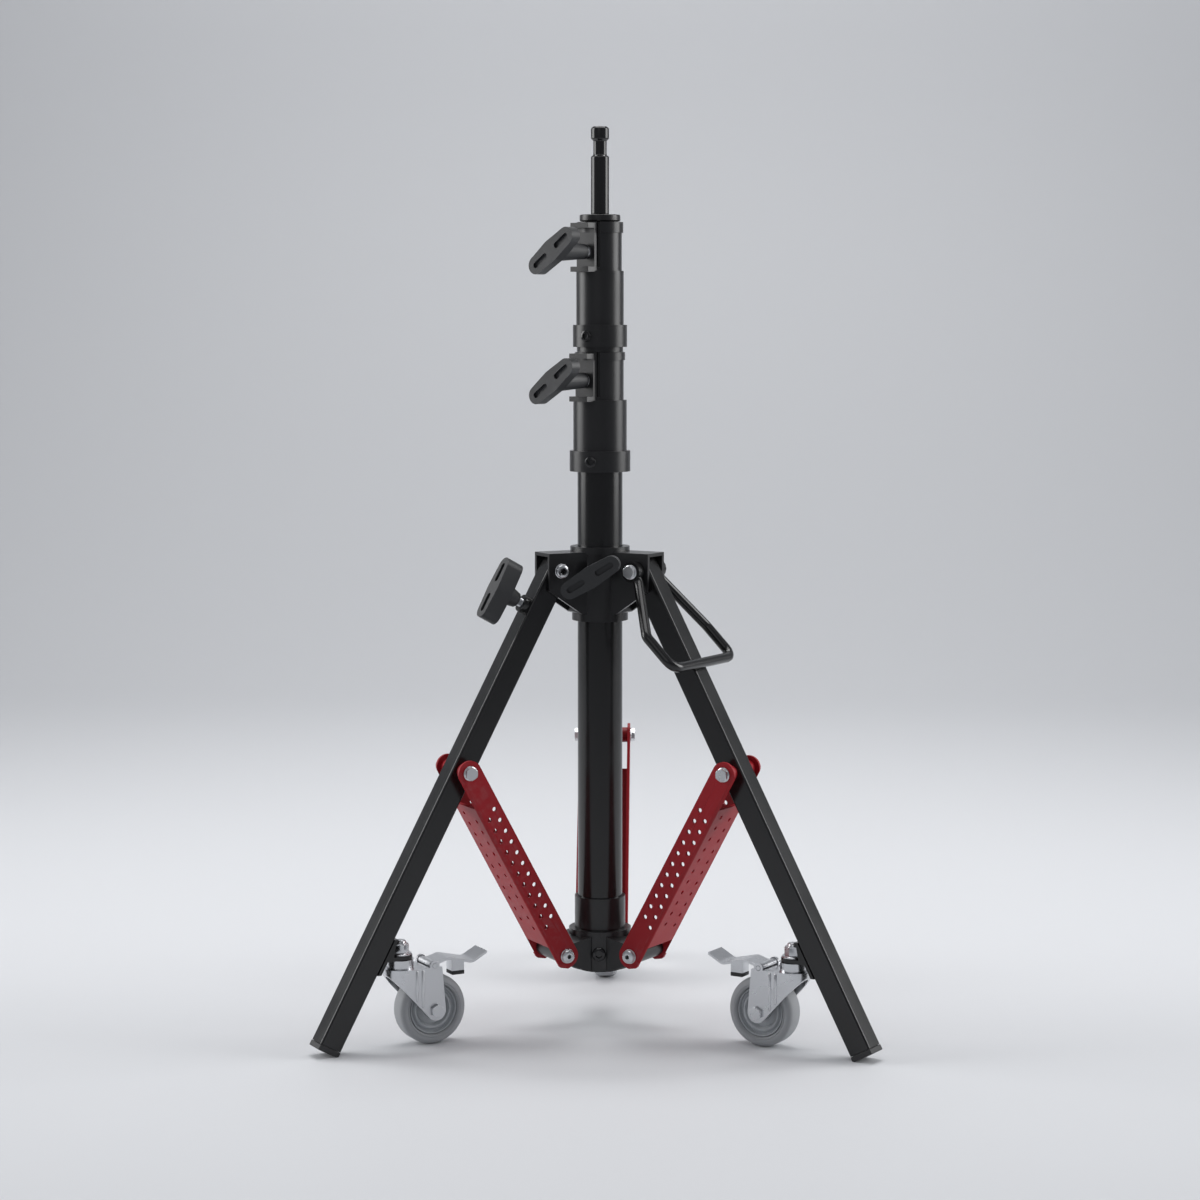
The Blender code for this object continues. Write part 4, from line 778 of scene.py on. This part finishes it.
def threaded_stud(node, joint):
    """A knob's stud with a rolled thread along it."""
    origin = joint_place(joint)
    axis = joint_axis(joint)
    low, high = extent(node, origin, axis)
    side = axis.orthogonal().normalized()
    radius = max(extent(node, origin, side))
    pitch = details().thread_pitch
    root = radius - details().thread_depth
    flank = [(root * 0.9, pitch / 2), (root, pitch * 0.45), (radius, 0)]
    ridge = turned(flank + [(root, -pitch * 0.45), (root * 0.9, -pitch / 2)], 24)
    count = int((high - low) / pitch) - 1
    ridges = repeated(ridge, line_tree(), {"Count": count, "Step": (0, 0, pitch)}, slot_of(node))
    moved(ridges, Matrix.Translation((0, 0, low + pitch)))
    core = disc(2 * root, low, high, 24)
    mesh = lay_along(shaded(joined(core, ridges), 50), origin, axis)
    piece(node + "_body", mesh, body_of(node), slot_of(node), [node])


class STAND_OT_column(bpy.types.Operator):
    """Finish the column tube, the risers, the top cap and the mounting stud"""

    bl_idname = "stand.column"
    bl_label = "Column and risers"

    def execute(self, context):
        for node in ("base_column", "riser_1_tube", "riser_2_tube"):
            soft_copy(node, details().fine_edge, 2)
        soft_copy("mounting_stud", details().edge)
        soft_copy("top_cap", details().casting_edge)
        for node in ("riser_1_bush", "riser_2_bush"):
            painted(node)
        return {"FINISHED"}


class STAND_OT_clamps(bpy.types.Operator):
    """Finish the clamp castings, with the screws in their collars and the washers behind their knobs"""

    bl_idname = "stand.clamps"
    bl_label = "Clamps"

    def washer_ring(self, node):
        """The bright ring round a knob's stud, on the floor of the clamp's lug."""
        knob = node.replace("clamp", "knob")
        axis = joint_axis(knob + "_turn")
        place = joint_place(knob + "_turn")
        hub_end = min(extent(knob, place, axis))
        bore = 0.0034
        outer = 0.0062
        depth = 0.0040
        clear = 0.0003
        loop = [(bore, -depth), (outer, -depth), (outer, -0.0005), (outer - 0.0004, 0.0), (bore, 0.0)]
        ring = lay_along(shaded(turned(loop, 40), 40), place + axis * (hub_end - clear), axis)
        piece(node + "_washer", ring, body_of(node), "zinc_plate")

    def execute(self, context):
        head = 0.0016
        for node, first_turn, height in (("column_clamp", -106, 0.5068), ("riser_1_clamp", -119, 0.6172)):
            soft_copy(node, details().casting_edge)
            reach = max(extent(node, COLUMN_FOOT, X))
            values = {"Count": 2, "Radius": reach - head * 0.2}
            screws = repeated(socket_screw(details().collar_screw, head), ring_tree(), values, "gloss_black")
            turn = Matrix.Rotation(math.radians(first_turn), 4, "Z")
            moved(screws, Matrix.Translation(COLUMN_FOOT + UP * height) @ turn)
            piece(node + "_screws", shaded(screws), body_of(node), "gloss_black")
            self.washer_ring(node)
        return {"FINISHED"}


class STAND_OT_knobs(bpy.types.Operator):
    """Finish the T-knobs and their threaded studs"""

    bl_idname = "stand.knobs"
    bl_label = "T-knobs"

    def execute(self, context):
        for node in ("column_knob", "riser_1_knob", "yoke_knob", "level_knob"):
            soft_copy(node, details().knob_edge, 4, 40)
            threaded_stud(node + "_stud", node + "_turn")
        return {"FINISHED"}


class STAND_OT_yoke(bpy.types.Operator):
    """Finish the sliding yoke and the leg hinge bolts"""

    bl_idname = "stand.yoke"
    bl_label = "Yoke"

    def execute(self, context):
        soft_copy("yoke", details().casting_edge)
        for name, spoke in SPOKE.items():
            head = "socket" if name == "left" else "hexagon"
            pivot_bolt(spoke, name + "_hinge_bolt", spoke.hinge, head)
        return {"FINISHED"}


class STAND_OT_legs(bpy.types.Operator):
    """Make the square legs with rounded corners, and finish their foot caps"""

    bl_idname = "stand.legs"
    bl_label = "Legs"

    def execute(self, context):
        corner = details().leg_corner
        wall = 0.0015
        boss_diameter = 0.016
        for name, spoke in SPOKE.items():
            node = name + "_leg"
            low, high = extent(node, spoke.hinge, -spoke.down_leg)
            half = max(extent(node, spoke.hinge, spoke.side))
            outer = prism(rounded_square(half, corner), low, high)
            inner = prism(rounded_square(half - wall, corner - wall), low - wall, high + wall)
            tube = boolean(outer, inner)
            if name == "left":
                boss_reach = max(extent(node, spoke.hinge, spoke.off_leg))
                knob = joint_place("level_knob_turn") - spoke.hinge
                boss = disc(boss_diameter, half - wall / 2, boss_reach, 32)
                tube = boolean(tube, lay_along(boss, UP * -knob.length, X), "UNION")
            mesh = softened(moved(tube, spoke.leg_frame()), details().fine_edge, 2)
            piece(node + "_tube", mesh, body_of(node), slot_of(node), [node])
            soft_copy(name + "_foot_cap", details().edge)
        soft_copy("left_foot_bar", details().fine_edge, 2)
        return {"FINISHED"}


class STAND_OT_braces(bpy.types.Operator):
    """Make the perforated red braces and their pivot bolts"""

    bl_idname = "stand.braces"
    bl_label = "Braces"

    def perforations(self, low):
        """Cutters for two rows of holes through the sides, and two through the web."""
        size = details()
        through = 0.06
        into = 0.05
        start = UP * (low / 2)
        peg = disc(size.hole_diameter, -through, through, 16)
        values = {"Count": size.holes_in_row, "Step": size.hole_pitch, "Row Gap": size.hole_row_gap}
        through_sides = repeated(peg, rows_tree(), values, "red_paint")
        moved(through_sides, axes(start, -UP, X, -Y))
        short_peg = disc(size.hole_diameter, 0, into, 16)
        values["Row Gap"] = size.web_row_gap
        through_web = repeated(short_peg, rows_tree(), values, "red_paint")
        return through_sides, moved(through_web, axes(start, -UP, Y, X))

    def bent(self, mesh, half, depth):
        """Rounds the two long bends of a channel along its web, in brace axes."""
        sheet = details().brace_sheet
        inner_x = depth - sheet
        inner_y = half - sheet
        near = WELD * 50
        places = [vertex.co for vertex in mesh.vertices]
        web = [co.z for co in places if abs(co.x - inner_x) < near and abs(abs(co.y) - inner_y) < near]
        radius = details().brace_bend
        spare = 0.001
        arc = quarter_arc(depth - radius, half - radius, radius, 8)
        outline = [(depth - radius, half + spare), *arc]
        outline += [(depth + spare, half - radius), (depth + spare, half + spare)]
        for sign in (-1, 1):
            cutter = prism([(x, sign * y) for x, y in outline], min(web), max(web))
            mesh = boolean(mesh, cutter)
        return mesh

    def squared(self, mesh, half, depth, low):
        """Fills the outer corner of both sides at the foot of a channel, in brace axes."""
        foot = low + depth
        edge = [(0.55, 0), (1, 0), (1, -0.38), (0.93, -0.55), (0.42, -0.97)]
        edge += [(0.25, -0.99), (0, -0.95), (0, -0.55), (0.39, -0.39)]
        outline = [(x * depth, foot + z * depth) for x, z in edge]
        lie = axes(Vector(), X, UP, -Y)
        inner = half - details().brace_sheet
        for faces in ((-half, -inner), (inner, half)):
            mesh = boolean(mesh, moved(prism(outline, *faces), lie), "UNION")
        return flattened(mesh)

    def execute(self, context):
        for name, spoke in SPOKE.items():
            node = name + "_brace"
            low = min(extent(node, spoke.brace_top, spoke.up_brace))
            half = max(extent(node, spoke.brace_top, spoke.side))
            depth = max(extent(node, spoke.brace_top, spoke.off_brace))
            mesh = moved(cad_copy(node), spoke.brace_frame().inverted())
            mesh = self.squared(self.bent(mesh, half, depth), half, depth, low)
            for tool in self.perforations(low + depth):
                mesh = boolean(mesh, tool)
            mesh = softened(moved(mesh, spoke.brace_frame()), details().fine_edge, 2, 40)
            piece(node + "_channel", mesh, body_of(node), slot_of(node), [node])
            pivot_bolt(spoke, name + "_brace_top_bolt", spoke.brace_top, "hexagon")
            foot_bolt = name + "_brace_foot_bolt"
            lowest, highest = (Vector(corner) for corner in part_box(foot_bolt))
            pivot_bolt(spoke, foot_bolt, (lowest + highest) / 2, "socket", SMALL_KEY_SHARE)
        return {"FINISHED"}


class STAND_OT_brace_collar(bpy.types.Operator):
    """Finish the collar that holds the lower ends of the braces, with its screws"""

    bl_idname = "stand.brace_collar"
    bl_label = "Brace collar"

    def execute(self, context):
        soft_copy("brace_collar", details().casting_edge)
        head = 0.0032
        height = 0.0665
        values = {"Count": 3, "Radius": 0.0277}
        screws = repeated(socket_screw(details().body_screw, head), ring_tree(), values, "gloss_black")
        moved(screws, Matrix.Translation(COLUMN_FOOT + UP * height) @ Matrix.Rotation(-QUARTER_TURN, 4, "Z"))
        piece("brace_collar_screws", shaded(screws), "column", "gloss_black")
        return {"FINISHED"}


class STAND_OT_handle(bpy.types.Operator):
    """Finish the carry handle"""

    bl_idname = "stand.handle"
    bl_label = "Carry handle"

    def execute(self, context):
        soft_copy("right_carry_handle", details().fine_edge, 2, 50)
        return {"FINISHED"}


class STAND_OT_casters(bpy.types.Operator):
    """Make the wheels, and finish the brackets, forks, kingpins and brake pedals"""

    bl_idname = "stand.casters"
    bl_label = "Casters"

    def wheel(self, spoke):
        """A rim with stepped rings, and a tyre with rounded shoulders, turned about the axle."""
        tyre_node = spoke.name + "_caster_tyre"
        rim_node = spoke.name + "_caster_rim"
        outer = max(extent(tyre_node, spoke.axle, UP))
        half = max(extent(tyre_node, spoke.axle, spoke.side))
        hub_half = max(extent(rim_node, spoke.axle, spoke.side))
        rim_radius = max(extent(rim_node, spoke.axle, UP))
        shoulder = 0.0055
        crown = quarter_arc(outer - shoulder, half - shoulder, shoulder, 6)
        seat = rim_radius + 0.0003
        lip = [(seat, half * 0.70), (rim_radius + 0.0012, half * 0.94), (rim_radius + 0.0026, half)]
        groove = [(outer - 0.0072, half), (outer - 0.0066, half - 0.0008), (outer - 0.0060, half)]
        side = lip + groove + crown
        loop = side + [(radius, -height) for radius, height in reversed(side)]
        tyre = lay_along(shaded(turned(loop, 64), 50), spoke.axle, spoke.side)
        piece(tyre_node + "_body", tyre, body_of(tyre_node), "tyre_rubber", [tyre_node])
        bore = 0.0043
        face = [
            (bore, hub_half),
            (0.0072, hub_half),
            (0.0080, hub_half - 0.0008),
            (0.0086, half * 0.42),
            (0.0140, half * 0.36),
            (0.0150, half * 0.62),
            (0.0158, half * 0.70),
            (0.0172, half * 0.70),
            (0.0180, half * 0.62),
            (0.0190, half * 0.50),
            (0.0204, half * 0.50),
            (0.0208, half * 0.80),
            (rim_radius - 0.0004, half * 0.82),
            (rim_radius, half * 0.76),
        ]
        loop = face + [(radius, -height) for radius, height in reversed(face)]
        rim = lay_along(shaded(turned(loop, 64), 40), spoke.axle, spoke.side)
        piece(rim_node + "_body", rim, body_of(rim_node), "rim_plastic", [rim_node])

    def axle(self, spoke):
        """The axle, with a hexagon head at each end."""
        node = spoke.name + "_caster_axle"
        reach = max(extent(node, spoke.axle, spoke.side))
        head = 0.003
        across = 0.0104
        parts = [lay_along(disc(BOLT_SHANK, -reach + head, reach - head, 24), spoke.axle, spoke.side)]
        for sign in (-1, 1):
            direction = spoke.side * sign
            seat = spoke.axle + direction * (reach - head)
            parts.append(lay_along(hexagon_head(across, head), seat, direction))
        piece(node + "_body", shaded(joined(*parts)), body_of(node), "zinc_plate", [node])

    def kingpin(self, spoke):
        """The kingpin with a washer and a hexagon nut on the bracket, and its end above the nut."""
        node = spoke.name + "_kingpin"
        low, high = extent(node, spoke.kingpin, UP)
        radius = 0.005
        chamfer = 0.0009
        shoulder = 0.0025
        foot = 0.0074
        foot_height = 0.0024
        foot_chamfer = 0.0006
        tip = 0.0025
        nut = 0.0085
        nut_across = 0.0130
        plate = 0.0015
        plate_diameter = 0.0198
        seat = high - tip - nut - plate
        line = [(0, high), (radius - chamfer, high), (radius, high - chamfer), (radius, low + shoulder)]
        line += [(foot, low + foot_height), (foot, low + foot_chamfer), (foot - foot_chamfer, low), (0, low)]
        parts = [moved(turned(line, 32, closed=False), Matrix.Translation(spoke.kingpin))]
        parts.append(lay_along(washer(plate_diameter, plate), spoke.kingpin + UP * seat, UP))
        parts.append(lay_along(hexagon_head(nut_across, nut), spoke.kingpin + UP * (seat + plate), UP))
        piece(node + "_body", shaded(joined(*parts)), body_of(node), "zinc_plate", [node])

    def crease(self, spoke, back, bottom, sign):
        """A pressed crease down a cheek of the fork: a flattened rib, half of it in the sheet."""
        half = max(extent(spoke.name + "_caster_fork", spoke.kingpin, spoke.side))
        radius = 0.0013
        top = -0.0008
        end = 0.0016
        line = [(0, top), (radius * 0.6, top - end / 3), (radius, top - end)]
        line += [(radius, bottom + end), (radius * 0.6, bottom + end / 3), (0, bottom)]
        rib = moved(turned(line, 16, closed=False), Matrix.Diagonal((1, 0.7, 1, 1)))
        return moved(rib, spoke.frame(spoke.kingpin - spoke.out * back + spoke.side * sign * half))

    def fork(self, spoke):
        """The fork with pressed creases down its cheeks."""
        node = spoke.name + "_caster_fork"
        soft_copy(node, details().edge)
        lines = ((0.0090, -0.0290), (0.0145, -0.0350))
        creases = [self.crease(spoke, back, bottom, sign) for sign in (-1, 1) for back, bottom in lines]
        piece(node + "_creases", shaded(joined(*creases), 60), body_of(node), "zinc_plate")

    def brake_shoe(self, spoke):
        """The rubber shoe on the lower end of a pedal's pad."""
        node = spoke.name + "_brake_pedal"
        bottom = min(extent(node, spoke.pedal, UP))
        back = -0.0327
        front = -0.0208
        half = 0.0064
        thickness = 0.0036
        below = 0.0001
        outline = [(back, -half), (front, -half), (front, half), (back, half)]
        shoe = softened(prism(outline, bottom - below, bottom + thickness), details().edge)
        piece(node + "_shoe", moved(shoe, spoke.frame(spoke.pedal)), body_of(node), "cap_plastic")

    def execute(self, context):
        for name, spoke in SPOKE.items():
            self.wheel(spoke)
            self.axle(spoke)
            self.kingpin(spoke)
            self.fork(spoke)
            soft_copy(name + "_caster_bracket", details().edge)
            soft_copy(name + "_brake_pedal", details().edge)
            self.brake_shoe(spoke)
        return {"FINISHED"}


class STAND_OT_stage(bpy.types.Operator):
    """Lay the floor, hang the lamps and place the camera"""

    bl_idname = "stand.stage"
    bl_label = "Stage"

    def lamp(self, name, place, watts, target, width, height, beam=math.pi):
        """A rectangular lamp at a place, aimed at a target."""
        light = bpy.data.lights.new(name, "AREA")
        light.spread = beam
        light.shape = "RECTANGLE"
        light.size = width
        light.size_y = height
        light.energy = watts
        obj = bpy.data.objects.new(name, light)
        obj.location = place
        aim = Vector(target) - Vector(place)
        obj.rotation_euler = aim.to_track_quat("-Z", "Y").to_euler()
        bpy.context.scene.collection.objects.link(obj)

    def backdrop(self, stage):
        """A floor that curves up into a wall behind the stand."""
        form = bmesh.new()
        bend_start = WALL_DISTANCE - WALL_BEND
        steps = 16
        profile = [(-BACKDROP_REACH, 0), (bend_start, 0)]
        for step in range(1, steps + 1):
            turn = QUARTER_TURN * step / steps
            profile.append((bend_start + WALL_BEND * math.sin(turn), WALL_BEND - WALL_BEND * math.cos(turn)))
        profile.append((WALL_DISTANCE, BACKDROP_REACH))
        sides = [[form.verts.new((x, y, z)) for y, z in profile] for x in (-BACKDROP_REACH, BACKDROP_REACH)]
        for low in range(len(profile) - 1):
            high = low + 1
            form.faces.new((sides[0][low], sides[1][low], sides[1][high], sides[0][high]))
        mesh = bpy.data.meshes.new("floor")
        form.to_mesh(mesh)
        form.free()
        mesh.shade_smooth()
        paper = bpy.data.materials.new("floor_paper")
        paper.use_nodes = True
        shader = paper.node_tree.nodes["Principled BSDF"]
        shader.inputs["Base Color"].default_value = (*stage.floor, 1)
        shader.inputs["Roughness"].default_value = 0.6
        mesh.materials.append(paper)
        floor = bpy.data.objects.new("floor", mesh)
        bpy.context.scene.collection.objects.link(floor)

    def camera(self, stage):
        data = bpy.data.cameras.new("camera")
        data.lens = stage.lens
        data.sensor_width = 36
        data.clip_end = 50
        camera = bpy.data.objects.new("camera", data)
        turn = stage.camera_turn
        away = Vector((math.sin(turn), -math.cos(turn), 0)) * stage.camera_distance
        camera.location = COLUMN_FOOT + away + UP * stage.camera_height
        camera.rotation_euler = (QUARTER_TURN - stage.camera_tilt, 0, turn)
        bpy.context.scene.collection.objects.link(camera)
        bpy.context.scene.camera = camera

    def execute(self, context):
        stage = context.scene.stand_stage
        self.backdrop(stage)
        middle = COLUMN_FOOT + UP * 0.4
        wall = (0, WALL_DISTANCE, 0.9)
        for side, name in ((-1, "left_strip"), (1, "right_strip")):
            place = (side * 2.4, 0.18, 1.25)
            self.lamp(name, place, stage.side_power, middle, width=1.6, height=2.0, beam=stage.side_beam)
        self.lamp("overhead", (0, 0.3, 2.8), stage.top_power, middle, width=2.0, height=2.0)
        self.lamp("wall", (0, 1.0, 2.8), stage.wall_power, wall, width=2.4, height=0.8)
        self.lamp("front", (-0.6, -3.0, 1.9), stage.front_power, middle, width=1.8, height=1.8)
        world = bpy.data.worlds.new("surroundings")
        world.use_nodes = True
        sky = world.node_tree.nodes["Background"]
        sky.inputs["Color"].default_value = (*stage.sky_colour, 1)
        sky.inputs["Strength"].default_value = stage.sky
        context.scene.world = world
        context.scene.view_settings.view_transform = "Standard"
        self.camera(stage)
        return {"FINISHED"}


PIECE_OPERATORS = (
    STAND_OT_column,
    STAND_OT_clamps,
    STAND_OT_knobs,
    STAND_OT_yoke,
    STAND_OT_legs,
    STAND_OT_braces,
    STAND_OT_brace_collar,
    STAND_OT_handle,
    STAND_OT_casters,
    STAND_OT_stage,
)


class STAND_PT_sidebar(bpy.types.Panel):
    """The stand's pieces, in the order they are made"""

    bl_idname = "STAND_PT_sidebar"
    bl_label = "Roller lighting stand"
    bl_space_type = "VIEW_3D"
    bl_region_type = "UI"
    bl_category = "Stand"

    def draw(self, context):
        for operator in PIECE_OPERATORS:
            self.layout.operator(operator.bl_idname)


SETTINGS = {"stand_finishes": StandFinishes, "stand_details": StandDetails, "stand_stage": StandStage}


def register():
    for settings in SETTINGS.values():
        bpy.utils.register_class(settings)
    for name, settings in SETTINGS.items():
        setattr(bpy.types.Scene, name, PointerProperty(type=settings))
    for made in (*PIECE_OPERATORS, STAND_PT_sidebar):
        bpy.utils.register_class(made)


def unregister():
    for made in reversed((*PIECE_OPERATORS, STAND_PT_sidebar)):
        bpy.utils.unregister_class(made)
    for name in SETTINGS:
        delattr(bpy.types.Scene, name)
    for settings in SETTINGS.values():
        bpy.utils.unregister_class(settings)


def main():
    register()
    for operator in PIECE_OPERATORS:
        group, name = operator.bl_idname.split(".")
        getattr(getattr(bpy.ops, group), name)()


if __name__ == "__main__":
    main()
